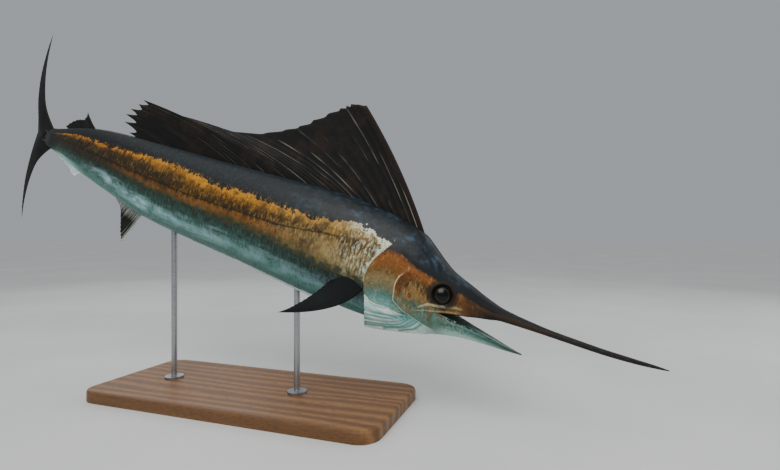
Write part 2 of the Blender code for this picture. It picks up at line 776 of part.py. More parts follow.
def make_tail_fin(body):
    for name, up, height, tip_s in (("tail_fin_upper", 1, 19.9, 122.8), ("tail_fin_lower", -1, 19.4, 121.6)):
        fin = blade(name, lobe_surface(up, height, tip_s, 117.2), 11, 10, (0.3, 0.05),
                    (0.16, 0.035), FIN_BLACK, notch=curve((0, 0), (0.3, 0.01), (1, 0.02)))
        for side in (1, -1):
            for keel_height in KEEL_HEIGHTS:
                boolean(fin, "DIFFERENCE", [keel(side, keel_height, 1.5 * GAP_PERCENT)])
        rooted(fin, body)


# The stand

BASE_LENGTH = 0.86
BASE_WIDTH = 0.36
BASE_THICKNESS = 0.03
BASE_CORNER = 0.05
BASE_BEVEL = 0.006
ROD_RADIUS = 0.008
FLANGE_RADIUS = 0.026
FLANGE_THICKNESS = 0.006
ROD_STATIONS = (("stand_rod_front", 50), ("stand_rod_rear", 75))


def make_base():
    bm = bmesh.new()
    bmesh.ops.create_cube(bm, size=1)
    bmesh.ops.scale(bm, vec=(BASE_LENGTH, BASE_WIDTH, BASE_THICKNESS), verts=bm.verts[:])
    bmesh.ops.translate(bm, vec=(0, 0, BASE_THICKNESS / 2), verts=bm.verts[:])
    upright = [e for e in bm.edges if abs((e.verts[0].co - e.verts[1].co).z) > BASE_THICKNESS / 2]
    bmesh.ops.bevel(bm, geom=upright, offset=BASE_CORNER, segments=6, profile=0.5, affect="EDGES")
    top = [e for e in bm.edges if all(v.co.z > BASE_THICKNESS - 1e-5 for v in e.verts)]
    bmesh.ops.bevel(bm, geom=top, offset=BASE_BEVEL, segments=2, profile=0.5, affect="EDGES")
    return shaded(new_object("stand_base", bm, OAK), 30)


def disc(bm, radius, depth, middle):
    bmesh.ops.create_cone(bm, segments=24, radius1=radius, radius2=radius, depth=depth,
                          cap_ends=True, matrix=Matrix.Translation(middle))


def make_rod(name, s, body):
    """An upright rod with a round foot, cut at its top to the fish's belly."""
    x = place(s, 0, 0).x + body_belly(s) * PERCENT * math.sin(NOSE_DOWN)
    top = place(s, 0, body_belly(s)).z + 0.03
    foot = BASE_THICKNESS + GAP
    bm = bmesh.new()
    disc(bm, ROD_RADIUS, top - foot, (x, 0, (top + foot) / 2))
    rod = new_object(name, bm, STEEL)
    bm = bmesh.new()
    disc(bm, FLANGE_RADIUS, FLANGE_THICKNESS, (x, 0, foot + FLANGE_THICKNESS / 2))
    boolean(rod, "UNION", [new_object("flange", bm, STEEL)])
    return shaded(boolean(rod, "DIFFERENCE", [copied(body)]), 30)


def main():
    for old in list(bpy.data.objects):
        bpy.data.objects.remove(old)
    body = whole_body(GAP_PERCENT)
    make_bill()
    make_head()
    make_lower_jaw()
    make_trunk()
    make_stalk()
    for side, word in ((1, "left"), (-1, "right")):
        eyeball(f"eye_{word}", side)
        make_pectoral(f"pectoral_fin_{word}", side, body)
        make_pelvic(f"pelvic_fin_{word}", side)
    make_sail(body)
    make_median_fins(body)
    make_tail_fin(body)
    make_base()
    for name, s in ROD_STATIONS:
        make_rod(name, s, body)
    bpy.data.objects.remove(body)


main()
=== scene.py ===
# %% [markdown]
# # A life-size sailfish, swimming nose down, on a display stand
#
# A sailfish is one long smooth body with a bill, a hanging lower jaw and a dozen thin fins.
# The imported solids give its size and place. This lesson puts a finished skin, fins and eyes
# in exactly the same places, and then a studio floor, lights and a camera.
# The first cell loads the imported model, which stays fixed while everything is built round it.

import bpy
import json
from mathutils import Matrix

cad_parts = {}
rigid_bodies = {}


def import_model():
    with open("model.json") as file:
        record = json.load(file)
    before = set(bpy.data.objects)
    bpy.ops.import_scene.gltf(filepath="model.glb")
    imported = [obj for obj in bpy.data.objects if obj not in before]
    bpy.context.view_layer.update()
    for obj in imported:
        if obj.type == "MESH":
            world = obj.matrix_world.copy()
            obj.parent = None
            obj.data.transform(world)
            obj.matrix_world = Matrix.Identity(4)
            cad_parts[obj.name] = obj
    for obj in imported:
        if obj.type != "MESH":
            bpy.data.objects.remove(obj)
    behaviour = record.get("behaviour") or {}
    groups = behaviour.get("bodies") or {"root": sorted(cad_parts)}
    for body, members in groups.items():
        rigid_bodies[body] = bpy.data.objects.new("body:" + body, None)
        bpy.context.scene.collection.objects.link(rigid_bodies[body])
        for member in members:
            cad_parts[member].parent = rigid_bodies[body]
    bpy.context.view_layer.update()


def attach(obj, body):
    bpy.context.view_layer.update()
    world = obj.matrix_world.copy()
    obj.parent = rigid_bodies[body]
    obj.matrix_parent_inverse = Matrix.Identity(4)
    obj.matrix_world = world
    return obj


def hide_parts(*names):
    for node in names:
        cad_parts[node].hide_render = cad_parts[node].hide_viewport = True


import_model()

# %% Modules used below
import json
import math

import bmesh
import bpy
import numpy as np
from mathutils import Matrix, Vector

# %% [markdown]
# ## The fish's own frame
#
# A fish is easiest to draw along its backbone. Here s is the way back from the bill's tip,
# y is towards its left side and h is towards its back, all in percent of the body length.
# Smooth curves through a few measured points give the outline. numpy lets one call work on
# a whole sheet of points, which a loop over vertices would do far more slowly.

# %% Sizes and the smooth curve
BODY_LENGTH = 1.75  # lower jaw's tip to tail fork, metres
PERCENT = BODY_LENGTH / 100
NOSE_DOWN = math.radians(18)
BILL_TIP_HEIGHT = 0.17  # metres above the floor
STAND_MIDDLE = 61  # the s that stands over the middle of the stand
BILL_TIP, FORK_S = 0.01, 117.2


def curve(*points):
    """A smooth function of a number or an array, through the points without overshooting."""
    xs, ys = np.array(points, float).T
    steps = np.diff(ys) / np.diff(xs)
    before, after = steps[:-1], steps[1:]
    total = np.where(before * after > 0, before + after, 1)
    inner = np.where(before * after > 0, 2 * before * after / total, 0)
    slopes = np.concatenate((steps[:1], inner, steps[-1:]))

    def at(x):
        x = np.clip(x, xs[0], xs[-1])
        i = np.clip(np.searchsorted(xs, x, side="right") - 1, 0, len(xs) - 2)
        width = xs[i + 1] - xs[i]
        t = (x - xs[i]) / width
        start = (1 + 2 * t) * (1 - t) ** 2 * ys[i] + t * (1 - t) ** 2 * width * slopes[i]
        end = t * t * (3 - 2 * t) * ys[i + 1] + t * t * (t - 1) * width * slopes[i + 1]
        return start + end

    return at


def rise(low, high, x):
    """0 below low, 1 above high, and a soft step between."""
    t = np.clip((x - low) / (high - low), 0, 1)
    return t * t * (3 - 2 * t)


def mix(a, b, share):
    """a where the share is 0, b where it is 1."""
    return a + (b - a) * share


def level(value):
    """A curve that stays level."""
    return lambda x: value + 0 * x


# %% The outline from the side, and the half width
back_line = curve(
    (0, 0.05), (1, 0.05), (4, -0.1), (8, -0.3), (13.5, -0.37), (17, -0.2), (20, 0.1),
    (22.4, 0.73), (24.9, 1.6), (27.7, 2.6), (29.6, 3.75), (31.3, 5), (33.1, 6.15),
    (37, 7.2), (41, 7.7), (46.3, 8), (54, 7.7), (61, 7.35), (69, 6.95), (78, 6.6),
    (90, 6.1), (95, 5.7), (99, 5.1), (103, 4.2), (106, 3.4), (109, 2.8), (111.5, 2.6),
    (113.6, 2.9),
)
head_belly = curve(
    (0, -0.05), (1, -0.26), (4, -0.72), (8, -1.04), (13.5, -1.23), (17, -1.38), (20, -1.6),
    (22.4, -2.4), (24.9, -4), (27, -5.6), (28.7, -6.85), (30, -7.3), (33, -8.2), (36, -8.85),
    (38, -9.15),
)
body_belly = curve(
    (35, -7.4), (38.5, -7.7), (41.5, -7.8), (46, -7.8), (50, -7.7), (57, -7.4), (63, -7.15),
    (71, -7), (77, -6.8), (83, -6.3), (90, -4.95), (95, -4), (100, -2.9), (104, -1.9),
    (107, -1.4), (109, -1.15), (111.5, -1), (113.6, -1.3),
)
half_width = curve(
    (0, 0.05), (1, 0.16), (4, 0.3), (8, 0.38), (13.5, 0.48), (17, 0.65), (20, 1), (22.4, 1.45),
    (25, 2.1), (28, 2.75), (31, 3.3), (34, 3.75), (37, 4), (41, 4.15), (46, 4.15), (52, 4.05),
    (60, 3.85), (68, 3.6), (76, 3.25), (84, 2.75), (90, 2.3), (96, 1.8), (101, 1.4), (105, 1.1),
    (108, 0.92), (111, 0.72), (113.6, 0.3),
)
widest_height = curve(
    (0, 0), (4, -0.4), (8, -0.66), (13.5, -0.8), (20, -0.75), (28, -0.8), (33, -0.5),
    (37, -0.3), (46, 0.3), (60, 0.5), (80, 0.4), (95, 0.6), (104, 1), (113.6, 0.8),
)
print("percent deep at s 46:", round(float(back_line(46) - body_belly(46)), 1))
print("percent wide at s 46:", round(float(2 * half_width(46)), 1))

# %% The stroke of the tail, and the way from the fish's frame to metres
tail_turn = curve((97, 0), (102, 3.5), (112, 12), (116, 23.5), (130, 23.5))  # degrees, left
SPINE_STEP = 0.5
SPINE_TURNS = np.radians(tail_turn(np.arange(0, 132, SPINE_STEP) + SPINE_STEP / 2))
SPINE_BACK = np.concatenate(([0], np.cumsum(SPINE_STEP * np.cos(SPINE_TURNS))))
SPINE_LEFT = np.concatenate(([0], np.cumsum(SPINE_STEP * np.sin(SPINE_TURNS))))


def place(s, y, h):
    """Points of the fish's frame, in metres on the stand: +Z is up and +X ahead."""
    s, y, h = np.broadcast_arrays(np.asarray(s, float), y, h)
    index = np.floor(s / SPINE_STEP).astype(int)
    start = index * SPINE_STEP
    middle = np.radians(tail_turn((start + s) / 2))
    turn = np.radians(tail_turn(s))
    back = SPINE_BACK[index] + (s - start) * np.cos(middle) - y * np.sin(turn)
    left = SPINE_LEFT[index] + (s - start) * np.sin(middle) + y * np.cos(turn)
    ahead = (STAND_MIDDLE - back) * math.cos(NOSE_DOWN) + h * math.sin(NOSE_DOWN)
    up = back * math.sin(NOSE_DOWN) + h * math.cos(NOSE_DOWN)
    return np.stack((ahead * PERCENT, left * PERCENT, up * PERCENT + BILL_TIP_HEIGHT), -1)


WEDGE_START, WEDGE_END, WEDGE_THINNING = 108.3, 112.6, 0.8


def wedge(s):
    """How far the end of the stalk thins, so that it runs into the tail fin."""
    return 1 - WEDGE_THINNING * rise(WEDGE_START, WEDGE_END, s)


def section(s, angle, belly, lift=0.0):
    """(y, h) of the skin at s, at an angle from the back, positive on the left side."""
    side = np.sign(angle)
    angle = np.abs(angle)
    width = half_width(s)
    middle = widest_height(s)
    reach = np.where(angle < math.pi / 2, back_line(s) - middle, middle - belly)
    out_y, out_h = np.sin(angle) / width, np.cos(angle) / reach
    size = np.hypot(out_y, out_h)
    y = width * np.sin(angle) * wedge(s) + lift * out_y / size
    h = middle + reach * np.cos(angle) + lift * out_h / size
    return side * y, h


def angle_at(s, height, belly):
    """The angle from the back at which the skin has this height."""
    reach_up = back_line(s) - widest_height(s)
    reach_down = widest_height(s) - belly
    above = height - widest_height(s)
    share = np.where(above > 0, above / reach_up, above / reach_down)
    return np.arccos(np.clip(share, -1, 1))


print("bill tip", place(BILL_TIP, 0, 0).round(3), "tail fork", place(FORK_S, 0, 0).round(3))

# %% [markdown]
# ## One skin for the whole body
#
# On the real fish the bill, head, gill covers, trunk and tail stalk share one skin. It is made
# here from a few flat grids, each bent into a tube: the body, the upper jaw with its bill, the
# lower jaw, and the lining at the back of the mouth. Neighbouring grids have the same number of
# columns, so that their edges meet vertex on vertex and can be merged.
# A skin of grids keeps a regular flow of faces, which shades more smoothly than a boolean.

# %% Bend a flat grid into a piece of skin
WHERE = "where"  # s, the angle from the back, and 1 on the head
INSIDE = "inside"  # 1 in the mouth, 1 under the gill covers, and the share along the row


def mesh_of(name, bm):
    """A mesh of the bmesh, which is freed."""
    mesh = bpy.data.meshes.new(name)
    bm.to_mesh(mesh)
    bm.free()
    return mesh


def keep_values(mesh, name, *values):
    """Keeps three numbers of every point on the mesh, where a material can read them."""
    layer = mesh.attributes.new(name, "FLOAT_VECTOR", "POINT")
    layer.data.foreach_set("vector", np.stack(np.broadcast_arrays(*values), -1).ravel())


def bent_grid(columns, rows, shape):
    """A flat grid whose vertices are moved to shape(i, j): their points, then attributes."""
    bm = bmesh.new()
    bmesh.ops.create_grid(bm, x_segments=columns, y_segments=rows, size=0.5)
    mesh = mesh_of("grid", bm)
    flat = np.empty(len(mesh.vertices) * 3)
    mesh.vertices.foreach_get("co", flat)
    i = np.rint((flat[0::3] + 0.5) * columns).astype(int)
    j = np.rint((flat[1::3] + 0.5) * rows).astype(int)
    points, *values = shape(i, j)
    mesh.vertices.foreach_set("co", np.ascontiguousarray(points).ravel())
    for name, value in zip((WHERE, INSIDE), values):
        keep_values(mesh, name, *value)
    return mesh


def merged(meshes, distance=2e-5):
    """One bmesh of several grids, whose shared edges are merged and whose faces look outwards."""
    bm = bmesh.new()
    for mesh in meshes:
        bm.from_mesh(mesh)
        bpy.data.meshes.remove(mesh)
    bmesh.ops.remove_doubles(bm, verts=bm.verts[:], dist=distance)
    bmesh.ops.recalc_face_normals(bm, faces=bm.faces[:])
    return bm


# %% Columns round the body, with one exactly at the corner of the mouth
UPPER_COLUMNS = 44  # each side, from the middle of the back to the lip
LOWER_COLUMNS = 28  # each side, from the lip to the middle of the belly
LINING_COLUMNS = 12  # each side, across the roof and the floor of the mouth
SIDE_COLUMNS = UPPER_COLUMNS + LOWER_COLUMNS
MOUTH_CORNER = 28.3
mouth_roof = curve((20, -1.6), (22.4, -1.95), (25, -2.4), (MOUTH_CORNER, -2.95))
BILL_FOOT = math.radians(150)  # the bill is closed below this angle
CORNER_BELLY = head_belly(MOUTH_CORNER)
CORNER_ANGLE = float(angle_at(MOUTH_CORNER, mouth_roof(MOUTH_CORNER), CORNER_BELLY))


def column_angle(i):
    """The angle of a column, from -pi round the back to pi."""
    count = i - SIDE_COLUMNS
    share = np.abs(count)
    above = CORNER_ANGLE * share / UPPER_COLUMNS
    below = mix(CORNER_ANGLE, math.pi, (share - UPPER_COLUMNS) / LOWER_COLUMNS)
    return np.sign(count) * np.where(share <= UPPER_COLUMNS, above, below)


print("columns:", 2 * SIDE_COLUMNS, "mouth corner, degrees:", round(math.degrees(CORNER_ANGLE)))


# %% The rear edge of the gill cover, and the slit that it covers
# By degrees round from the back: where the edge is, and how far it stands off the trunk
gill_edge = curve(
    (0, 34.7), (40, 35.3), (65, 36.8), (85, 38.1), (97, 38.4), (118, 37.7), (140, 37.4),
    (180, 37.6),
)
gill_lift = curve((0, 0.03), (48, 0.03), (66, 0.28), (120, 0.32), (180, 0.1))
COVER_START = 33.8  # where the cover begins to lift
# From the cover's edge round its rim, forward into the slit and back out along the trunk:
# the way back, the share of the cover's lift, what is added to it, and the share of trunk
SLIT = (
    (0.05, 1, -0.05, 0), (0.03, 1, -0.13, 0), (-0.35, 0.9, -0.19, 0), (-1.1, 0.4, -0.16, 0.5),
    (-0.55, 0, -0.1, 1), (0.1, 0, -0.06, 1), (0.6, 0, 0, 1),
)


def standing_off(s, angle):
    """How far the gill cover lifts the head's skin at s."""
    degrees = np.degrees(np.abs(angle))
    share = np.clip((s - COVER_START) / (gill_edge(degrees) - COVER_START), 0, 1)
    return gill_lift(degrees) * np.where(share < 0.5, 1.2 * share, 0.2 + 0.8 * share)


print("the gill cover's edge stands off by", standing_off(38.2, math.pi / 2).round(2), "percent")


# %% Rows along the body
HEAD_ROWS, JOIN_ROWS, TRUNK_ROWS = 84, 14, 264
TRUNK_FRONT, STALK_END = 42, 113.6


def blend_of(in_head, in_slit, head, slit, trunk):
    """One value for each row, of the head, of the slit or of the trunk."""
    return np.where(in_head, head, np.where(in_slit, slit, trunk))


def body_shape(i, j):
    """From the corner of the mouth, round the gill cover's edge, to the end of the stalk."""
    angle = column_angle(i)
    degrees = np.degrees(np.abs(angle))
    edge = gill_edge(degrees)
    lift = gill_lift(degrees)
    opened = rise(50, 64, degrees)
    head_s = mix(MOUTH_CORNER, edge, np.minimum(j / HEAD_ROWS, 1))
    slit = np.clip(j - HEAD_ROWS - 1, 0, len(SLIT) - 1)
    shift, keep, more, trunk = np.array(SLIT)[slit].T
    closed = (slit + 1) / len(SLIT)
    slit_s = edge + mix(closed * SLIT[-1][0], shift, opened)
    slit_lift = mix(lift * (1 - closed), lift * keep + more, opened)
    out = HEAD_ROWS + len(SLIT)
    join_s = mix(edge + SLIT[-1][0], TRUNK_FRONT, (j - out) / JOIN_ROWS)
    rear_s = mix(TRUNK_FRONT, STALK_END, (j - out - JOIN_ROWS) / TRUNK_ROWS)
    in_head, in_slit = j <= HEAD_ROWS, j <= out
    trunk_s = np.where(rear_s < TRUNK_FRONT, join_s, rear_s)
    s = np.minimum(blend_of(in_head, in_slit, head_s, slit_s, trunk_s), STALK_END)
    rise_off = blend_of(in_head, in_slit, standing_off(s, angle), slit_lift, 0)
    share = blend_of(in_head, in_slit, 0, mix(closed, trunk, opened), 1)
    y, h = section(s, angle, mix(head_belly(s), body_belly(s), share), rise_off)
    capped = j > out + JOIN_ROWS + TRUNK_ROWS
    y, h = np.where(capped, 0, y), np.where(capped, widest_height(s), h)
    on_head = np.where(in_head | (in_slit & (slit < 2)), 1.0, 0.0)
    hidden = np.where(in_slit & ~in_head & (slit > 1) & (slit < 5), opened, 0)
    return place(s, y, h), (s, angle, on_head), (0, hidden, 0)


body_rows = HEAD_ROWS + len(SLIT) + JOIN_ROWS + TRUNK_ROWS + 1
body_grid = bent_grid(2 * SIDE_COLUMNS, body_rows, body_shape)
print("body grid:", len(body_grid.vertices), "points")

# %% The upper jaw and the bill, with the roof of the mouth
UPPER_ROWS = 132
BILL_END = 20  # where the bill opens into the mouth
VAULT = 0.3  # how high the roof of the mouth is arched, as a share of its half width
upper_stations = curve((0, BILL_TIP), (62, BILL_END), (UPPER_ROWS - 1, MOUTH_CORNER))


def lip_angle(s):
    """The angle from the back at which the upper jaw ends."""
    free = angle_at(s, mouth_roof(s), head_belly(s))
    return np.where(s < BILL_END, BILL_FOOT, np.minimum(free, BILL_FOOT))


def roof_point(s, across):
    """A point of the mouth's roof, or of the bill's underside, from -1 to 1 across."""
    lip = lip_angle(s)
    under_y, under_h = section(s, math.pi - (math.pi - lip) * np.abs(across), head_belly(s))
    lip_y, lip_h = section(s, lip, head_belly(s))
    vault = VAULT * lip_y * (1 - np.abs(across) ** 3)
    open_share = rise(18.5, 23, s)
    y = mix(under_y, lip_y * np.abs(across), open_share)
    return np.sign(across) * y, mix(under_h, lip_h + vault, open_share)


def upper_shape(i, j):
    """Round the outside from lip to lip, then back across the roof of the mouth."""
    s = np.where(j == 0, BILL_TIP, upper_stations(j - 1.0))
    outer = i <= 2 * UPPER_COLUMNS
    share = (i - UPPER_COLUMNS) / UPPER_COLUMNS
    angle = lip_angle(s) * np.clip(share, -1, 1)
    y, h = section(s, angle, head_belly(s))
    across = 1 - (i - 2 * UPPER_COLUMNS) / LINING_COLUMNS
    roof_y, roof_h = roof_point(s, np.clip(across, -1, 1))
    y, h = np.where(outer, y, roof_y), np.where(outer, h, roof_h)
    y, h = np.where(j == 0, 0, y), np.where(j == 0, 0, h)
    lining = np.where(outer, 0, rise(1, 0.8, np.abs(across)) * rise(BILL_END, 22, s))
    angle = np.where(outer, angle, np.sign(across) * lip_angle(s))
    return place(s, y, h), (s, angle, 1), (lining, 0, 0)


upper_grid = bent_grid(2 * (UPPER_COLUMNS + LINING_COLUMNS), UPPER_ROWS, upper_shape)
print("bill and upper jaw:", len(upper_grid.vertices), "points")

# %% [markdown]
# ### The lower jaw
#
# The lower jaw is a narrow scoop that hangs open on its hinge. Its outside runs from one rim
# round the keel to the other, and its inside is the floor of the mouth. It could be cut out of
# a solid, but a bent grid lets its last row meet the head's first row exactly.

# %% The lower jaw, a scoop that hangs open
JAW_TIP = 16.2
JAW_ROWS = 84
JAW_TROUGH = 0.55  # depth of the hollow between the rims, as a share of the jaw's depth
jaw_rim = curve((JAW_TIP, -4.66), (18, -4.45), (20.3, -4.08), (23.9, -3.58), (MOUTH_CORNER, -3.05))
jaw_keel = curve(
    (JAW_TIP, -4.8), (18.5, -5.05), (20.5, -5.2), (23.8, -5.5), (26, -5.9), (MOUTH_CORNER, -6.55)
)
jaw_width = curve((JAW_TIP, 0.1), (18, 0.42), (20.3, 0.78), (23.8, 1.4), (MOUTH_CORNER, 2.4))


def jaw_point(s, down):
    """(y, h) of the jaw's left side, from the rim at 0 to the keel at 1."""
    turn = math.pi / 2 * down

    def free(s):
        depth = jaw_rim(s) - jaw_keel(s)
        return jaw_width(s) * np.cos(turn), jaw_rim(s) - depth * np.sin(turn)

    y, h = free(s)
    last_y, last_h = free(MOUTH_CORNER)
    end_y, end_h = section(MOUTH_CORNER, mix(CORNER_ANGLE, math.pi, down), CORNER_BELLY)
    fit = rise(22.5, MOUTH_CORNER, s)
    return y + fit * (end_y - last_y), h + fit * (end_h - last_h)


def trough_point(s, across):
    """A point of the mouth's floor between the rims, from -1 to 1 across."""
    rim_y, rim_h = jaw_point(s, 0.0)
    size = np.abs(across)
    y = rim_y * across * (0.84 + 0.16 * size ** 8)
    depth = (jaw_rim(s) - jaw_keel(s)) * JAW_TROUGH
    return y, rim_h - depth * (1 - size ** 4)


def jaw_shape(i, j):
    """Round the outside from rim to rim, then back across the floor of the mouth."""
    s = mix(JAW_TIP, MOUTH_CORNER, (np.maximum(j, 1) - 1) / (JAW_ROWS - 1))
    outer = i <= 2 * LOWER_COLUMNS
    side = np.where(i <= LOWER_COLUMNS, 1.0, -1.0)
    down = 1 - np.abs(i - LOWER_COLUMNS) / LOWER_COLUMNS
    y, h = jaw_point(s, np.clip(down, 0, 1))
    across = (i - 2 * LOWER_COLUMNS) / LINING_COLUMNS - 1
    floor_y, floor_h = trough_point(s, np.clip(across, -1, 1))
    y, h = np.where(outer, side * y, floor_y), np.where(outer, h, floor_h)
    tip_h = (jaw_rim(JAW_TIP) + jaw_keel(JAW_TIP)) / 2
    y, h = np.where(j == 0, 0, y), np.where(j == 0, tip_h, h)
    lining = np.where(outer, 0, rise(1, 0.8, np.abs(across)))
    angle = np.where(outer, side * mix(CORNER_ANGLE, math.pi, down), across * CORNER_ANGLE)
    return place(s, y, h), (s, angle, 1), (lining, 0, 0)


jaw_grid = bent_grid(2 * (LOWER_COLUMNS + LINING_COLUMNS), JAW_ROWS, jaw_shape)
print("lower jaw:", len(jaw_grid.vertices), "points")

# %% The back of the mouth, and all the grids as one skin
POCKET_ROWS, POCKET_DEPTH = 8, 2.2


def pocket_shape(i, j):
    """A pocket from the roof of the mouth down to its floor, which closes the skin."""
    across = i / LINING_COLUMNS - 1
    down = j / POCKET_ROWS
    roof_y, roof_h = roof_point(MOUTH_CORNER, across)
    floor_y, floor_h = trough_point(MOUTH_CORNER, across)
    deep = POCKET_DEPTH * np.sin(math.pi * down) * np.sqrt(np.clip(1 - across ** 2, 0, 1))
    points = place(MOUTH_CORNER + deep, mix(roof_y, floor_y, down), mix(roof_h, floor_h, down))
    return points, (MOUTH_CORNER, across * CORNER_ANGLE, 1), (rise(1, 0.8, np.abs(across)), 0, 0)


pocket_grid = bent_grid(2 * LINING_COLUMNS, POCKET_ROWS, pocket_shape)
skin_bm = merged([body_grid, upper_grid, jaw_grid, pocket_grid])
loose = [edge for edge in skin_bm.edges if len(edge.link_faces) != 2]
print("skin:", len(skin_bm.faces), "faces,", len(loose), "open or crossed edges")

# %% [markdown]
# ## Relief on the skin
#
# The head of a sailfish is covered by thin plates of bone under the skin: the gill cover, the
# curved edge of the plate in front of it, and the folded membrane under the throat. Each is
# drawn as a line in s and h, and every point of the skin is moved along its normal by how near
# it lies to the line. Sculpting by hand would give the same folds, but a line can be read and
# corrected. The same distances are kept as attributes, so that the colours of the material
# follow the relief exactly.

# %% Lines on the head, each through (s, h) points
CHEEK_PLATE = (
    (32.9, 1.5), (33.5, 0.6), (34, 0), (34.2, -1.2), (34.05, -2.3), (33.95, -3.15),
    (33.4, -3.6), (32.2, -4.25), (31, -4.66), (29.6, -5.1), (28, -5.7),
)
COVER_FOOT = ((31, -4.66), (32.2, -4.8), (33.2, -4.75), (34.6, -4.5), (36.4, -4.5), (37.6, -3.9))
THROAT_GROOVES = (
    ((31.6, -4.95), (34, -5.75), (38, -6.1)),
    ((31.4, -4.95), (33.9, -6.2), (37.8, -6.9)),
    ((31.1, -5), (33.6, -6.65), (37.6, -7.5)),
    ((30.9, -5), (32.9, -6.85), (37.5, -8.15)),
    ((30.5, -5.05), (32.2, -6.9), (37.4, -8.6)),
    ((30.1, -5.1), (31.3, -6.6), (34.6, -8.15)),
    ((29.5, -5.3), (30.4, -6.5), (32.4, -7.7)),
)
UPPER_LIP = ((22.6, -1.9), (24.5, -2.1), (26.5, -2.4), (28.3, -2.9), (29.6, -3.2), (30.6, -3.6))
STREAK = ((24.2, -1.45), (25.8, -1.6), (27.6, -2.05), (29.2, -2.25), (30.3, -2.9))
NOSTRILS = ((25.5, 0.1, 0.2), (26.1, 0.25, 0.24))  # the third number is the radius
GILL_REAR = ((37.2, 2.9), (38, 1.4), (38.4, -0.3), (38.2, -1.6), (37.8, -3), (37.4, -4.6))
print("folds under the throat:", len(THROAT_GROOVES))


def away_from(s, h, points, steps=28):
    """The distance of each (s, h) from a smooth line, positive on its left as s grows."""
    marks = np.linspace(0, 1, len(points))
    share = np.linspace(0, 1, steps + 1)
    line = np.stack([curve(*zip(marks, values))(share) for values in zip(*points)], -1)
    nearest = np.full(len(s), 1e9)
    side = np.ones(len(s))
    for a, b in zip(line, line[1:]):
        run = b - a
        t = np.clip(((s - a[0]) * run[0] + (h - a[1]) * run[1]) / (run @ run), 0, 1)
        off_s, off_h = s - a[0] - t * run[0], h - a[1] - t * run[1]
        distance = np.hypot(off_s, off_h)
        nearer = distance < nearest
        nearest = np.where(nearer, distance, nearest)
        side = np.where(nearer, np.sign(run[0] * off_h - run[1] * off_s + 1e-12), side)
    return nearest * side


def bell(distance, width):
    """1 on the line, falling smoothly to nothing on both sides."""
    return np.exp(-((distance / width) ** 2))


# %% The eyes' places
EYE_S, EYE_HEIGHT = 27.9, -0.5
EYE_RADIUS, EYE_DEPTH, EYE_SINK = 1.24, 0.8, 0.5


def skin_point(s, height, side):
    """The point of the smooth skin at a height, on the left (1) or right (-1) side."""
    belly = head_belly(s)
    y, h = section(s, angle_at(s, height, belly), belly)
    return Vector(place(s, side * y, h))


def eye_axis(side):
    """The middle of an eyeball and the way that it looks."""
    middle = skin_point(EYE_S, EYE_HEIGHT, side)
    ahead = skin_point(EYE_S - 1, EYE_HEIGHT, side) - middle
    above = skin_point(EYE_S, EYE_HEIGHT + 1, side) - middle
    outward = ahead.cross(above).normalized()
    if outward.y * side < 0:
        outward.negate()
    return middle - outward * EYE_SINK * PERCENT, outward


EYES = {side: eye_axis(side) for side in (1, -1)}
print("eyes", round((EYES[1][0] - EYES[-1][0]).length * 1000), "mm apart")

# %% Finer faces round the eyes
EYE_REACH = 2.0 * PERCENT
near_eyes = [
    edge for edge in skin_bm.edges
    if any((edge.verts[0].co - middle).length < EYE_REACH for middle, _ in EYES.values())
]
bmesh.ops.subdivide_edges(skin_bm, edges=near_eyes, cuts=1, use_grid_fill=True)
bmesh.ops.triangulate(skin_bm, faces=[face for face in skin_bm.faces if len(face.verts) > 4])
skin_mesh = mesh_of("skin", skin_bm)
print("skin with finer eyes:", len(skin_mesh.polygons), "faces")


# %% The place of every point, as plain arrays
def values_of(mesh, name):
    """Three numbers of every point, as rows."""
    flat = np.empty(len(mesh.vertices) * 3)
    mesh.attributes[name].data.foreach_get("vector", flat)
    return flat.reshape(-1, 3)


points = values_of(skin_mesh, "position")
skin_s, skin_angle, on_head_share = values_of(skin_mesh, WHERE).T
in_mouth, in_slit, _ = values_of(skin_mesh, INSIDE).T
normals = np.empty(len(points) * 3)
skin_mesh.vertex_normals.foreach_get("vector", normals)
normals = normals.reshape(-1, 3)
up_axis = np.array((math.sin(NOSE_DOWN), 0, math.cos(NOSE_DOWN)))
nose = np.array((STAND_MIDDLE * PERCENT * math.cos(NOSE_DOWN), 0, BILL_TIP_HEIGHT))
skin_h = (points - nose) @ up_axis / PERCENT
side_sign = np.where(skin_angle < 0, -1, 1)
share_down = np.abs(skin_angle) / math.pi
print("skin runs from s", skin_s.min().round(2), "to", skin_s.max().round(2))

# %% Distances that shape and colour the head
cheek_away = -away_from(skin_s, skin_h, CHEEK_PLATE)
foot_away = away_from(skin_s, skin_h, COVER_FOOT)
GROOVE_WIDTH = 0.17
groove = np.zeros(len(skin_s))
for line in THROAT_GROOVES:
    groove = np.maximum(groove, bell(away_from(skin_s, skin_h, line), GROOVE_WIDTH))
lip_away = away_from(skin_s, skin_h, UPPER_LIP)
streak_away = away_from(skin_s, skin_h, STREAK)
gill_away = away_from(skin_s, skin_h, GILL_REAR)
outside = (1 - np.minimum(1, in_mouth + in_slit)) * rise(0.5, 1, on_head_share)
side_on = rise(0.12, 0.22, share_down) * (1 - rise(0.93, 0.99, share_down))
print("grooves reach", groove.max().round(2), "cheek line from", cheek_away.min().round(1))

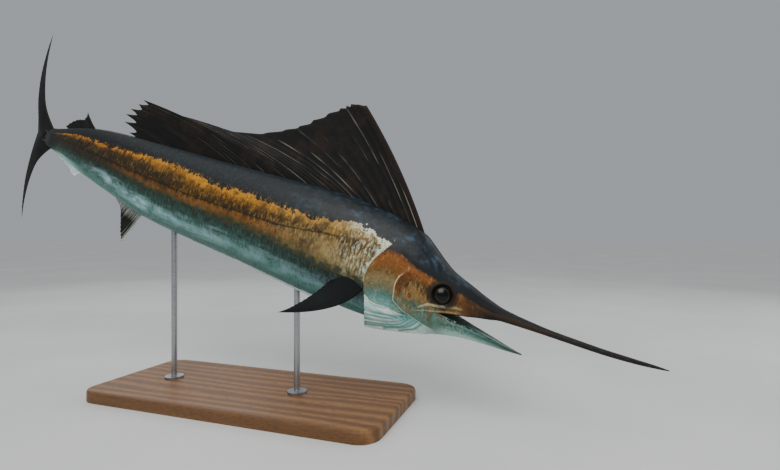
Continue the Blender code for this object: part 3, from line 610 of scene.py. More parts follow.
# %% The relief of the head
CHEEK_STEP, FOOT_STEP, GROOVE_DEPTH, LIP_HEIGHT, NOSTRIL_DEPTH = 0.22, 0.2, 0.2, 0.12, 0.06
PLATE_FADE, PLATE_FRONT, FOOT_FADE, FOOT_FRONT = 0.9, 0.1, 1.2, 0.08
in_front = np.where(cheek_away > 0, np.exp(-cheek_away / PLATE_FADE),
                    bell(cheek_away, PLATE_FRONT))
above_foot = np.where(foot_away > 0, np.exp(-foot_away / FOOT_FADE), bell(foot_away, FOOT_FRONT))
relief = CHEEK_STEP * in_front * rise(28, 30, skin_s) * (1 - rise(1, 1.6, skin_h))
relief += FOOT_STEP * above_foot * rise(31, 32.5, skin_s)
relief -= GROOVE_DEPTH * groove * rise(29.6, 31.5, skin_s)
relief += LIP_HEIGHT * bell(lip_away, 0.22) * rise(22.8, 24.5, skin_s)
relief *= outside * side_on
for s, h, radius in NOSTRILS:
    relief -= NOSTRIL_DEPTH * bell(np.hypot(skin_s - s, skin_h - h), radius) * outside

# %% The lateral line, the two keels of the stalk, and the sheath that the sail folds into
LINE_DEPTH, LINE_WIDTH = 0.035, 0.1
line_height = curve(
    (36, 3.6), (39, 3.4), (42, 2.1), (46, 0.9), (52, 0.6), (60, 0.6), (100, 0.9), (112, 1)
)
on_line = bell(skin_h - line_height(skin_s), LINE_WIDTH) * rise(38.5, 40, skin_s)
relief -= LINE_DEPTH * on_line * (1 - on_head_share)
KEEL_MIDDLE, KEEL_HALF, KEEL_HEIGHT, KEEL_WIDTH = 110.2, 2.9, 0.28, 0.17
for height in (-0.15, 1.75):
    length = np.clip(1 - ((skin_s - KEEL_MIDDLE) / KEEL_HALF) ** 2, 0, 1)
    relief += KEEL_HEIGHT * bell(skin_h - height, KEEL_WIDTH) * np.sqrt(length) * (share_down > 0.1)
SHEATH_HEIGHT, SHEATH_OUT, SHEATH_WIDTH = 0.07, 0.55, 0.28
off_middle = np.abs(points[:, 1]) / PERCENT
sheath = bell(off_middle - SHEATH_OUT, SHEATH_WIDTH) * (share_down < 0.25)
relief += SHEATH_HEIGHT * sheath * rise(33, 36, skin_s) * (1 - rise(86, 89, skin_s))
points = points + normals * (relief * PERCENT)[:, None]
print("relief from", relief.min().round(3), "to", relief.max().round(3), "percent")

# %% Press the eye sockets in
FAR = 9.0
SOCKET_REACH, SOCKET_BACK = 2.2, -1.2
BRIM_DEPTH, FOLD_HEIGHT = 0.55, 0.12
eye_away = np.full(len(points), FAR)
for side, (middle, outward) in EYES.items():
    axis = np.array(outward)
    offset = (points - np.array(middle)) / PERCENT
    deep = offset @ axis
    radial = np.linalg.norm(offset - deep[:, None] * axis, axis=1)
    near = (radial < SOCKET_REACH) & (deep > SOCKET_BACK) & (side_sign == side) & (in_mouth < 0.5)
    share = radial / (EYE_RADIUS * 0.96)
    ball = EYE_DEPTH * np.sqrt(1 - np.minimum(share, 0.985) ** 2)
    brim = np.where(share < 1, ball - BRIM_DEPTH * rise(1, 0.86, share), ball)
    fold = FOLD_HEIGHT * bell(share - 1.2, 0.1)
    wanted = mix(brim, deep, rise(1, 1.35, share)) + fold
    shift = np.where(near, wanted - deep, 0)
    points = points + (shift * PERCENT)[:, None] * axis
    eye_away = np.where(near, radial, eye_away)
skin_mesh.vertices.foreach_set("co", points.ravel())
skin_mesh.update()
print("points moved round the eyes:", int((eye_away < FAR).sum()))

# %% [markdown]
# ## Where the colours change
#
# A sailfish is dark slate along the back, with a bright copper band, a dark lateral line, a
# second copper band and a teal belly. The bands wander along the body, so each border is a curve
# of s. The way round the body is then stretched, so that each border has the same value
# all along it. One colour ramp over that value can then paint the whole flank. Painted textures
# would do it too, but attributes need no image and no unwrapping.

# %% Borders of the bands, as shares of the way from the back to the belly
gold_top = curve(
    (35, 0.33), (38.5, 0.31), (40, 0.295), (42, 0.29), (45, 0.33), (47, 0.355), (50, 0.37),
    (55, 0.37), (60, 0.357), (65, 0.372), (70, 0.345), (75, 0.315), (80, 0.3), (85, 0.315),
    (90, 0.332), (95, 0.325), (100, 0.3), (106, 0.315), (113, 0.32),
)
gold_foot = curve(
    (35, 0.4), (45, 0.42), (50, 0.425), (55, 0.43), (60, 0.455), (65, 0.445), (70, 0.46),
    (75, 0.42), (80, 0.415), (85, 0.39), (90, 0.39), (95, 0.4), (100, 0.385), (106, 0.365),
    (113, 0.37),
)
side_line = curve(
    (35, 0.44), (41, 0.445), (45, 0.462), (50, 0.476), (60, 0.486), (70, 0.5), (80, 0.488),
    (100, 0.46), (113, 0.45),
)
second_band = curve(
    (35, 0.53), (45, 0.55), (50, 0.53), (60, 0.525), (70, 0.535), (80, 0.525), (90, 0.51),
    (113, 0.5),
)
teal_top = curve(
    (35, 0.6), (45, 0.6), (50, 0.59), (55, 0.575), (60, 0.57), (70, 0.575), (75, 0.57),
    (80, 0.56), (85, 0.55), (90, 0.54), (95, 0.54), (113, 0.54),
)
# The middle of a pale blue highlight low on the flank: silvery skin, with its reflection painted
# into the colour
painted_highlight_middle = curve(
    (35, 0.74), (45, 0.73), (50, 0.73), (60, 0.74), (70, 0.725), (75, 0.715), (80, 0.69),
    (85, 0.67), (90, 0.635), (95, 0.64), (100, 0.68), (113, 0.75),
)
BORDERS = (level(0.0), gold_top, gold_foot, side_line, second_band, teal_top, painted_highlight_middle,
           level(1.0))
LEVELS = (0, 0.3, 0.42, 0.5, 0.56, 0.62, 0.75, 1)


def level_of(s, share):
    """The share of the way round, stretched so that each border has one value."""
    total = 0
    for low, high, a, b in zip(BORDERS, BORDERS[1:], LEVELS, LEVELS[1:]):
        total = total + (b - a) * np.clip((share - low(s)) / (high(s) - low(s)), 0, 1)
    return total


cheek_top = curve(
    (0, -0.1), (5, -0.4), (10, -0.5), (15, -0.55), (20, -0.5), (21.4, -0.5), (23.6, -0.07),
    (25.6, 0.48), (27.2, 0.74), (28, 0.91), (29, 1.15), (30, 1.44), (31.6, 1.79), (32.8, 2.17),
    (33.8, 2.66), (34.8, 3.1), (36, 3.2), (37.2, 2.81), (38, 2.4),
)
print("value on the side line:", [level_of(s, side_line(s)).round(3) for s in (45, 60, 90)])

# %% Keep them on the skin
half_depth = (back_line(skin_s) - head_belly(skin_s)) / 2
half_girth = math.pi * np.sqrt((half_width(skin_s) ** 2 + half_depth ** 2) / 2)
girth = skin_angle / math.pi * half_girth
keep_values(skin_mesh, "flat", skin_s * PERCENT, girth * PERCENT, skin_h * PERCENT)
keep_values(skin_mesh, "flank", level_of(skin_s, share_down), skin_s / 100, on_head_share)
keep_values(skin_mesh, "cheek", cheek_top(skin_s) - skin_h, cheek_away, foot_away)
in_jaw = (skin_s < MOUTH_CORNER) & (skin_h < (mouth_roof(skin_s) + jaw_rim(skin_s)) / 2)
jaw_depth = np.clip((jaw_rim(skin_s) - skin_h) / (jaw_rim(skin_s) - jaw_keel(skin_s)), -1, 2)
keep_values(skin_mesh, "jaw", in_jaw, jaw_depth, gill_away)
keep_values(skin_mesh, "throat", groove * outside, lip_away, streak_away)
keep_values(skin_mesh, "hollow", in_mouth, in_slit, eye_away)
for name in (WHERE, INSIDE):
    skin_mesh.attributes.remove(skin_mesh.attributes[name])
print("half the girth is up to", half_girth.max().round(2), "percent of the length")

# %% [markdown]
# ## Materials
#
# Each material is named for what the real one is. Colours are the hex values that a paint
# program shows, and one function turns them into the linear numbers that a shader needs.
# One more function adds a node, with its settings, its inputs and the stops of its ramp.
#
# A painter lays thin coats over one another and masks off what each coat may not touch. The
# nodes do the same: a mask goes from nothing to full between two values, masks are multiplied,
# and their product says how far the next colour covers what is below it.

# %% Colour, and one helper for every node
FIRST, SECOND = 6, 7  # the two colours of a Mix node
MM = 1000  # noise cells per metre for a cell of one millimetre


def linear(code):
    """An sRGB hex colour as linear red, green, blue and alpha."""
    values = [int(code[i:i + 2], 16) / 255 for i in (1, 3, 5)]
    return (*(v / 12.92 if v <= 0.04045 else ((v + 0.055) / 1.055) ** 2.4 for v in values), 1)


def node(tree, kind, inputs=None, stops=(), **settings):
    """Adds a node. An input is a number, a colour, a node, or one output of a node."""
    made = tree.nodes.new("ShaderNode" + kind)
    for name, value in settings.items():
        setattr(made, name, value)
    for key, value in (inputs or {}).items():
        if isinstance(value, bpy.types.Node):
            value = next(output for output in value.outputs if output.enabled)
        if isinstance(value, bpy.types.NodeSocket):
            tree.links.new(value, made.inputs[key])
        else:
            made.inputs[key].default_value = linear(value) if isinstance(value, str) else value
    for n, (position, colour) in enumerate(stops):
        elements = made.color_ramp.elements
        element = elements[0] if n == 0 else elements[-1] if n == 1 else elements.new(position)
        element.position = position
        element.color = linear(colour)
    return made


# %% Coats of colour and their masks
def masked(tree, *masks):
    """The product of masks. Each is a node, or a value, where it is 0 and where it is full.

    After those may come how much full is, and how much is left where it would be 0.
    """
    product = None
    for mask in masks:
        if isinstance(mask, tuple):
            value, start, end, most, least = mask + (1, 0)[len(mask) - 3:]
            mask = node(tree, "MapRange", {"Value": value, "From Min": start, "From Max": end,
                                           "To Min": least, "To Max": most})
        if product is not None:
            mask = node(tree, "Math", {0: product, 1: mask}, operation="MULTIPLY")
        product = mask
    return product


def layered(tree, colour, *coats):
    """Lays coats over a colour. A coat is its own colour and the masks that limit it."""
    for coat, *masks in coats:
        share = masked(tree, *masks)
        colour = node(tree, "Mix", {0: share, FIRST: colour, SECOND: coat}, data_type="RGBA")
    print("coats laid:", len(coats), "nodes so far:", len(tree.nodes))
    return colour


def new_look(name, roughness=0.5, coat=0.0, specular=0.5, metal=False, ior=1.45, coat_rough=0.2):
    """A material and its nodes. Its plain numbers stand on the shader, a metal keeps its IOR."""
    look = bpy.data.materials.new(name)
    look.use_nodes = True
    plain = {"Roughness": roughness, "Coat Weight": coat, "Coat Roughness": coat_rough,
             "Specular IOR Level": specular, **({"Metallic": 1.0} if metal else {"IOR": ior})}
    for socket, number in plain.items():
        look.node_tree.nodes["Principled BSDF"].inputs[socket].default_value = number
    return look, look.node_tree


def wire(look, **sockets):
    """Links nodes to the shader's sockets, whose spaces are written as underscores."""
    tree = look.node_tree
    inputs = tree.nodes["Principled BSDF"].inputs
    for socket, source in sockets.items():
        output = next(output for output in source.outputs if output.enabled)
        tree.links.new(output, inputs[socket.replace("_", " ")])
    print(look.name, "has", len(tree.nodes), "nodes")


# %% [markdown]
# ### Wet fish skin
#
# The skin is smooth and wet, over thin splinters of scale that lie along the body. Its colours
# come from pigment cells over a silvery layer, so they change in blotches and streaks rather
# than at sharp lines. An image could be wrapped round the body, but it would show its seam and
# its pixels. Here the material shifts the value of the flank by noise before its ramps read it,
# which gives the bands their torn and scalloped borders at any distance.

# %% Skin: the marks that the mesh carries
skin_look, tree = new_look("wet_fish_skin", roughness=0.45, coat=0.06, specular=0.3)
marks = {}
for name in ("flank", "cheek", "throat", "hollow", "jaw"):
    read = node(tree, "Attribute", attribute_name=name)
    marks[name] = node(tree, "SeparateXYZ", {0: read.outputs["Vector"]}).outputs
level_down, along_body, on_head = marks["flank"]
below_cheek, past_plate, past_foot = marks["cheek"]
in_groove, past_lip, past_streak = marks["throat"]
in_mouth_share, in_slit_share, off_eye = marks["hollow"]
on_jaw, down_jaw, past_gill = marks["jaw"]
flat = node(tree, "Attribute", attribute_name="flat").outputs["Vector"]
print("marks read from the mesh:", *marks)

# %% Skin: noises in the flat space of the skin, sized in millimetres
upright = node(tree, "Mapping", {"Vector": flat, "Scale": (1, 0.27, 0.27)})
tall = node(tree, "Mapping", {"Vector": flat, "Scale": (1, 0.25, 0.25)})
lengthwise = node(tree, "Mapping", {"Vector": flat, "Scale": (0.14, 1, 1)})
swept = node(tree, "Mapping", {"Vector": flat, "Scale": (0.12, 1, 1)})
blotches, lobes, grains, streaks, bars, wide_bars, splinters, brushed = (
    node(tree, "TexNoise", {"Vector": space, "Scale": MM / size, "Detail": detail,
                            "Roughness": rough})
    for space, size, detail, rough in (
        (flat, 55, 5, 0.62), (flat, 18, 2, 0.5), (flat, 6, 4, 0.72),
        (upright, 5.5, 4, 0.68), (upright, 34, 2, 0.5), (tall, 14, 2, 0.5),
        (lengthwise, 4, 3, 0.6), (swept, 16, 3, 0.6),
    ))

# %% Skin: values torn by the noises, each a number and then parts with their weights
torn = {"value": (-0.12, (lobes, 0.13), (grains, 0.04), (streaks, 0.07), (level_down, 1)),
        "patches": (0.0, (blotches, 1), (bars, 1)),
        # shine: the distance from the middle of the painted highlight, broken by brushed noise
        "shine": (-0.86, (brushed, 0.2), (level_down, 1)),
        "bar": (-0.5, (bars, 1)),
        "mottle": (-0.35, (lobes, 0.7), (blotches, 1)),
        "strip": (0.0, (past_gill, 1), (grains, 1.6), (lobes, 1.6)),
        "cheek": (-0.23, (below_cheek, 0.125), (blotches, 0.3), (grains, 0.14)),
        "side": (-0.95, (below_cheek, 0.125), (blotches, 0.3), (grains, 0.14), (streaks, 0.35),
                 (wide_bars, 1.1)),
        "plate": (0.0, (past_plate, 1), (blotches, 1.2)),
        "fine": (0.0, (below_cheek, 1), (grains, 0.5)),
        "eye": (0.0, (off_eye, 1), (lobes, 0.9)),
        "jaw": (0.0, (down_jaw, 1), (splinters, 0.4))}
for name, (total, *parts) in torn.items():
    for part, weight in parts:
        total = node(tree, "Math", {0: part, 1: weight, 2: total}, operation="MULTIPLY_ADD")
    torn[name] = total
value = torn["value"]
print("torn values:", *torn)

# %% Skin: the flank behind the head, along the middle and towards the tail
front, middle, rear = (node(tree, "ValToRGB", {0: value}, stops=stops) for stops in (
    ((0, "#141d22"), (1, "#46756d"), (0.12, "#182229"), (0.24, "#121b20"), (0.293, "#17201f"),
     (0.302, "#a98437"), (0.33, "#8f6d27"), (0.38, "#75581e"), (0.42, "#493812"),
     (0.46, "#75592a"), (0.52, "#8a744a"), (0.575, "#7a6a40"), (0.61, "#3a3b22"),
     (0.65, "#18221d"), (0.74, "#26484a"), (0.8, "#477e7b")),
    # The middle ramp turns darker teal towards 0.85: painted shade low on the flank, under the
    # belly
    ((0, "#0a0f12"), (1, "#7d9f98"), (0.1, "#10191f"), (0.2, "#0c1316"), (0.29, "#070a09"),
     (0.301, "#b87c0e"), (0.325, "#a76d0d"), (0.36, "#70490a"), (0.41, "#402c08"),
     (0.48, "#2a1d07"), (0.512, "#4a310d"), (0.55, "#7d4b18"), (0.585, "#4c3f1a"),
     (0.63, "#1c2a22"), (0.69, "#27463f"), (0.76, "#4c827b"), (0.85, "#456f69")),
    ((0, "#070a0b"), (1, "#9cc9bb"), (0.15, "#0a1011"), (0.29, "#060808"), (0.3, "#b0700f"),
     (0.35, "#8a530d"), (0.385, "#2c1e08"), (0.5, "#14120a"), (0.56, "#231a0b"),
     (0.6, "#191a10"), (0.68, "#232f27"), (0.76, "#33564d"), (0.9, "#558a7f")),
))
on_bands = masked(tree, (level_down, 0.28, 0.32), (value, 0.62, 0.55))
speckles = layered(
    tree,
    node(tree, "ValToRGB", {0: level_down}, stops=(
        (0.25, "#22333c"), (0.76, "#587f79"), (0.31, "#c8902a"), (0.5, "#85611f"),
        (0.62, "#33453a"))),
    ("#d2b67a", (along_body, 0.6, 0.44, 0.6), on_bands))
body = layered(
    tree, front,
    (middle, (along_body, 0.44, 0.58)),
    (rear, (along_body, 0.78, 0.93)),
    (speckles, (streaks, 0.5, 0.66, 0.65), (along_body, 0.8, 1.0, 0.3, 1.0)),
    ("#241a08", (torn["patches"], 1.02, 0.82, 0.7), on_bands),
    ("#1c1608", (streaks, 0.48, 0.34, 0.5)),
    ("#13110a", (grains, 0.48, 0.36, 0.4)))

# %% Skin: how far each point is from the painted highlight, the lateral line and the dark bars
line_rise = node(tree, "MapRange", {"Value": along_body, "From Min": 0.56, "From Max": 0.41,
                                    "To Max": 0.1}, interpolation_type="SMOOTHSTEP")
line = node(tree, "Math", {0: lobes, 1: 0.03, 2: -0.513}, operation="MULTIPLY_ADD")
for part in (line_rise, level_down):
    line = node(tree, "Math", {0: line, 1: part}, operation="ADD")
off_painted_highlight, off_line, off_bar, off_plate, off_lip, off_streak = (
    node(tree, "Math", {0: part}, operation="ABSOLUTE")
    for part in (torn["shine"], line, torn["bar"], past_plate, past_lip, past_streak))

# %% Skin: the painted highlight low on the flank, the dark lateral line, the bars and the tail stalk
body = layered(
    tree, body,
    # A pale blue highlight in patches on the silvery lower flank, painted into the colour as its
    # reflection
    ("#a3c5ca", (off_painted_highlight, 0.08, 0.0), (blotches, 0.38, 0.6), (along_body, 0.6, 0.82, 0.95, 0.35),
     (along_body, 0.98, 0.88)),
    ("#0c0a05", (off_line, 0.011, 0.003, 0.75), (along_body, 0.4, 0.45)),
    ("#0f0d08", (off_bar, 0.045, 0.012), (along_body, 0.6, 0.92, 0.95, 0.1),
     (level_down, 0.5, 0.42)),
    # A pale mint line low on the belly of the tail stalk: the silvery belly, with a reflection
    # painted along its edge
    ("#a9dccb", (along_body, 0.97, 1.03, 0.85), (level_down, 0.78, 0.86)),
    ("#0b0d0c", (along_body, 1.045, 1.08)))

# %% Skin: the mottled nape with a painted sheen, and the torn cream strip behind the gill opening
# Dark mottles of the nape, whose lighter blue-grey patches are a painted sheen
nape_with_painted_sheen = node(tree, "ValToRGB", {0: torn["mottle"]}, stops=(
    (0.3, "#05090a"), (0.84, "#3a5061"), (0.46, "#0c1417"), (0.6, "#17242c")))
cream = node(tree, "ValToRGB", {0: grains}, stops=((0.38, "#8aa58c"), (0.6, "#ece9cf")))
not_nape = masked(tree, (level_down, 0.255, 0.27))
body = layered(
    tree, body,
    (nape_with_painted_sheen, (value, 0.296, 0.286), (along_body, 0.58, 0.44)),
    (cream, (value, 0.332, 0.31), (value, 0.292, 0.302), not_nape, (along_body, 0.44, 0.4)),
    (cream, (past_gill, 6.5, 0.5, 0.65), (streaks, 0.47, 0.6), on_bands),
    (cream, (torn["strip"], 2.05, 1.75, 0.92), (value, 0.28, 0.3), not_nape, (value, 0.8, 0.68)))

# %% Skin: the copper cheek, with its plate, the streaks behind the eye, the snout and its spots
copper_cheek = node(tree, "ValToRGB", {0: torn["cheek"]}, stops=(
    (0, "#4a2807"), (1, "#8cc8bc"), (0.1, "#7f460e"), (0.25, "#764713"), (0.38, "#664a20"),
    (0.48, "#7d6a42"), (0.64, "#626349"), (0.77, "#48716a"), (0.9, "#6f9f96")))
behind_eye = node(tree, "ValToRGB", {0: torn["side"]}, stops=(
    (0.1, "#2a220f"), (0.8, "#4c8075"), (0.25, "#4e3a18"), (0.4, "#8a6634"), (0.55, "#3f5142")))
copper = node(tree, "ValToRGB", {0: blotches}, stops=((0.35, "#4f2a09"), (0.65, "#7c470f")))
snout = node(tree, "ValToRGB", {0: blotches}, stops=((0.38, "#1f160a"), (0.62, "#5a3a14")))
cheek = layered(
    tree, copper_cheek,
    (behind_eye, (past_plate, 0.7, 1.4), (along_body, 0.25, 0.29), (below_cheek, 0.9, 1.8)),
    (copper, (torn["plate"], 1.7, 1.35), (past_plate, 0.02, 0.12), (below_cheek, 0.5, 1.3),
     (below_cheek, 5.4, 4.4)),
    (snout, (along_body, 0.275, 0.255, 0.7)),
    ("#b59a62", (streaks, 0.54, 0.7, 0.38)),
    ("#24140a", (grains, 0.48, 0.34, 0.6)))

# %% Skin: the white folds of the throat with painted shade in and between their grooves, and the head with all its parts but bill and jaw
folds = layered(
    tree,
    node(tree, "ValToRGB", {0: blotches}, stops=((0.34, "#b4dad0"), (0.56, "#f7f8ef"))),
    # Teal between the white folds and in their grooves: painted shade in the creases
    ("#7cb8b0", (splinters, 0.46, 0.6, 0.6)),
    ("#3f8f88", in_groove))
off_plate = node(tree, "Math", {0: grains, 1: 0.2, 2: off_plate}, operation="MULTIPLY_ADD")
head = layered(
    tree, nape_with_painted_sheen,
    ("#0a0c0c", (torn["fine"], -0.95, -0.1)),
    (cheek, (torn["fine"], 0.3, 0.5)),
    ("#dcd3b0", (off_plate, 0.19, 0.1, 0.8), (below_cheek, 1.8, 2.6)),
    (folds, (past_plate, 0.02, -0.06), (past_foot, 0.03, -0.06), (along_body, 0.268, 0.3)),
    ("#0f0b07", (torn["eye"], 3.35, 2.05, 0.95)))

# %% Skin: the broken cream streaks under the eye
under_eye = masked(tree, (along_body, 0.245, 0.262), (blotches, 0.4, 0.56),
                   (along_body, 0.312, 0.298))
for off, width, strength in ((off_streak, 0.14, 0.6), (off_lip, 0.06, 0.45)):
    off = node(tree, "Math", {0: splinters, 1: 0.4, 2: off}, operation="MULTIPLY_ADD")
    head = layered(tree, head, ("#c9bf94", (off, width + 0.27, width + 0.15, strength), under_eye))

# %% Skin: the bill, black with a copper side, and the jaw, teal under a black rim
bill = node(tree, "ValToRGB", {0: torn["fine"]}, stops=(
    (0.15, "#0a0d0f"), (1.15, "#0c0908"), (0.28, "#120e0b"), (0.4, "#37230f"),
    (0.72, "#2c1c0e"), (0.95, "#150e0a")))
jaw = layered(
    tree,
    node(tree, "ValToRGB", {0: torn["jaw"]}, stops=(
        (0.12, "#070c0b"), (1.0, "#a6c8be"), (0.24, "#101a17"), (0.32, "#567e74"),
        (0.5, "#2f544b"), (0.75, "#628c82"))),
    ("#c9d6c2", (splinters, 0.5, 0.64, 0.35), (along_body, 0.215, 0.255)),
    ("#101815", (along_body, 0.225, 0.165, 0.8)))
head = layered(
    tree, head,
    (bill, (along_body, 0.255, 0.215)),
    ("#0e0b09", (along_body, 0.17, 0.12, 0.85)),
    ("#8a7f6c", (grains, 0.6, 0.7, 0.3), (along_body, 0.2, 0.16)),
    (jaw, (along_body, 0.284, 0.262), on_jaw))

# %% Skin: the linings of the mouth and the gill opening, and everything together
lining = layered(tree, "#241813", ("#74857d", on_jaw))
colour = layered(tree, body, (head, (on_head, 0.4, 0.6)), (lining, in_mouth_share),
                 ("#2a1210", in_slit_share))
scales = node(tree, "Bump", {"Height": splinters, "Strength": 0.4, "Distance": 0.0008})
wrinkles = node(tree, "Bump", {"Height": blotches, "Strength": 0.3, "Distance": 0.002,
                               "Normal": scales})
wire(skin_look, Base_Color=colour, Roughness=masked(tree, (grains, 0.3, 0.7, 0.62, 0.4)),
     Normal=wrinkles)

# %% [markdown]
# ### Fin membrane
#
# The sail and the other fins are dark skin, stretched over bony rays that shine through as thin
# paler streaks. A plain wave texture would draw even stripes. Here the streaks follow each ray,
# so the pattern is read from the ray's own number and from the distance along it, and noise
# breaks them up. Old scars give bronze patches.

# %% Fins: one function, since the fins differ only in their colours
FIN_AT = "fin_at"  # ray number, share of the ray's length, and metres from the root


def fin_look(name, dark, patch, ray_colour, front_colour, ray_strength, roughness=0.55, root=0.0):
    """Dark skin with its scars, threads, rays, pale root and front edge."""
    look, tree = new_look(name, roughness=roughness, specular=0.22)
    at = node(tree, "Attribute", attribute_name=FIN_AT).outputs["Vector"]
    ray_number, _, from_root = node(tree, "SeparateXYZ", {0: at}).outputs
    here = node(tree, "TexCoord").outputs["Object"]
    # Cells from ray to ray, and per metre of a ray: 220 mm long streaks, 110 mm long threads
    along_ray = node(tree, "Mapping", {"Vector": at, "Scale": (1.5, 0.0001, 4.5)})
    between = node(tree, "Mapping", {"Vector": at, "Scale": (6, 0.0001, 9)})
    broken = node(tree, "TexNoise", {"Vector": along_ray, "Scale": 1, "Detail": 3,
                                     "Roughness": 0.6})
    fibres = node(tree, "TexNoise", {"Vector": between, "Scale": 1, "Detail": 3})
    scars = node(tree, "TexNoise", {"Vector": here, "Scale": MM / 80, "Detail": 4,
                                    "Roughness": 0.65})
    off_ray = node(tree, "Math", {0: ray_number, 1: 0.5}, operation="PINGPONG")
    colour = layered(
        tree, dark,
        (patch, (scars, 0.48, 0.7)),
        (patch, (fibres, 0.5, 0.75, 0.25)),
        (ray_colour, (off_ray, 0.11, 0.02), (broken, 0.52, 0.66, ray_strength),
         (ray_number, 26, 18, 1, 0.3)),
        (ray_colour, (from_root, 0.05, 0.01, root), (fibres, 0.42, 0.58)),
        (front_colour, (ray_number, 0.9, 0.1, 0.7)))
    fibre_bump = node(tree, "Bump", {"Height": fibres, "Strength": 0.2, "Distance": 0.0005})
    wire(look, Base_Color=colour, Normal=fibre_bump)
    return look


# The dark fins differ in how much bronze they show. The pectorals are blue black, the front anal
# fin is silvery at its root, and the last two kinds are silvery all over, like the belly.
sail_look = fin_look("sail_membrane", "#090807", "#20170f", "#8a8372", "#291a12", 0.85)
fin_dark_look = fin_look("dark_fin_membrane", "#090a09", "#1f2019", "#34342b", "#15110c", 0.5)
tail_look = fin_look("tail_fin_membrane", "#060707", "#11100b", "#201e17", "#0a0908", 0.4)
pectoral_look = fin_look(
    "pectoral_membrane", "#040607", "#0a0f12", "#11181c", "#050708", 0.4, 0.7)
anal_look = fin_look(
    "first_anal_membrane", "#10110b", "#2a2c1f", "#c9cfc4", "#cdd6cf", 0.7, root=0.9)
silver_fin_look = fin_look(
    "silvery_membrane", "#a9bdb8", "#dfe9e5", "#eef4f0", "#e6eeea", 0.8, 0.35)

# %% [markdown]
# ### Eyes
#
# The ball is wet and very smooth, so its highlight is small and bright. A wide black pupil sits
# in a dark bronze iris, with a thin brighter ring where the two meet. The rings could be
# separate discs, but a ramp over the distance from the pupil's middle keeps the ball one smooth
# surface. The rim round it is thin dark skin, dull and a little mottled.

# %% Eye: a wet cornea over a bronze iris, coloured by the distance from the pupil's middle
eye_look, tree = new_look("wet_eye", 0.22, 0.12, 0.35, ior=1.38, coat_rough=0.05)
here = node(tree, "TexCoord").outputs["Object"]
eye_at = node(tree, "Attribute", attribute_name="eye_at").outputs["Vector"]
from_middle = node(tree, "SeparateXYZ", {0: eye_at}).outputs["X"]
iris_noise = node(tree, "TexNoise", {"Vector": here, "Scale": MM / 2.5, "Detail": 3})
iris_at = node(tree, "Math", {0: iris_noise, 1: 0.05, 2: from_middle}, operation="MULTIPLY_ADD")
iris = node(tree, "ValToRGB", {0: iris_at}, stops=(
    (0.62, "#020203"), (1.0, "#040302"), (0.66, "#2a1d0e"), (0.72, "#1a1209"), (0.85, "#100b06")))
wire(eye_look, Base_Color=iris)

# The rim: thin skin, dull and dark, so that it frames the ball's highlight
lid_look, tree = new_look("eye_rim_skin", coat=0.1)
here = node(tree, "TexCoord").outputs["Object"]
lid_noise = node(tree, "TexNoise", {"Vector": here, "Scale": MM / 4, "Detail": 4})
lid = node(tree, "ValToRGB", {0: lid_noise}, stops=((0.35, "#090705"), (0.7, "#261a10")))
wire(lid_look, Base_Color=lid)

# %% [markdown]
# ## From a mesh to a piece
#
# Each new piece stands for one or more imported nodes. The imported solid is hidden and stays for
# collisions, and the piece rides on the same body, so it goes wherever the solid would go.

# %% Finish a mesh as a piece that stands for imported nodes
def finish_piece(name, mesh, nodes, look):
    """Makes the mesh a smooth piece that rides on the body in place of the nodes."""
    mesh.shade_smooth()
    mesh.materials.append(look)
    piece = bpy.data.objects.new(name, mesh)
    bpy.context.scene.collection.objects.link(piece)
    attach(piece, "root")
    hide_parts(*nodes)
    print(name, "has", len(mesh.polygons), "faces")


# %% [markdown]
# ## The fins
#
# Every fin is a thin skin stretched over many bony rays. Each one is a flat grid wrapped round
# both faces of a thin blade, so it is closed all round. A flat sheet with a Solidify modifier
# would be quicker, but its edge would be square. Here the blade thins to nothing at its edge,
# the rays stand out as fine ridges, and the edge is cut back between them, as in an old fish
# whose membranes are torn.

# %% Curved rays
KNEE_AT = 0.42  # the share of the ray at which it bends


def bowed(root, tip, lift):
    """Rays from root to tip, each (s, y, h), that leave the root steeper than they end."""
    root, tip = np.stack(np.broadcast_arrays(*root), -1), np.stack(np.broadcast_arrays(*tip), -1)
    length = np.linalg.norm(tip - root, axis=-1, keepdims=True)
    knee = mix(root, tip, KNEE_AT) + np.array(lift) * length
    return root, knee, tip


def along(points, v):
    """The point at the share v of a curve from root to tip that is pulled towards the knee."""
    root, knee, tip = points
    v = v[..., None]
    return root * (1 - v) ** 2 + knee * 2 * v * (1 - v) + tip * v * v


# %% One way to make every fin
ASIDE, AHEAD = 0.4, 0.01  # how far the slope is felt, in columns and as a share of the ray
SHARP = 2.6  # how narrow the crest of a ray is


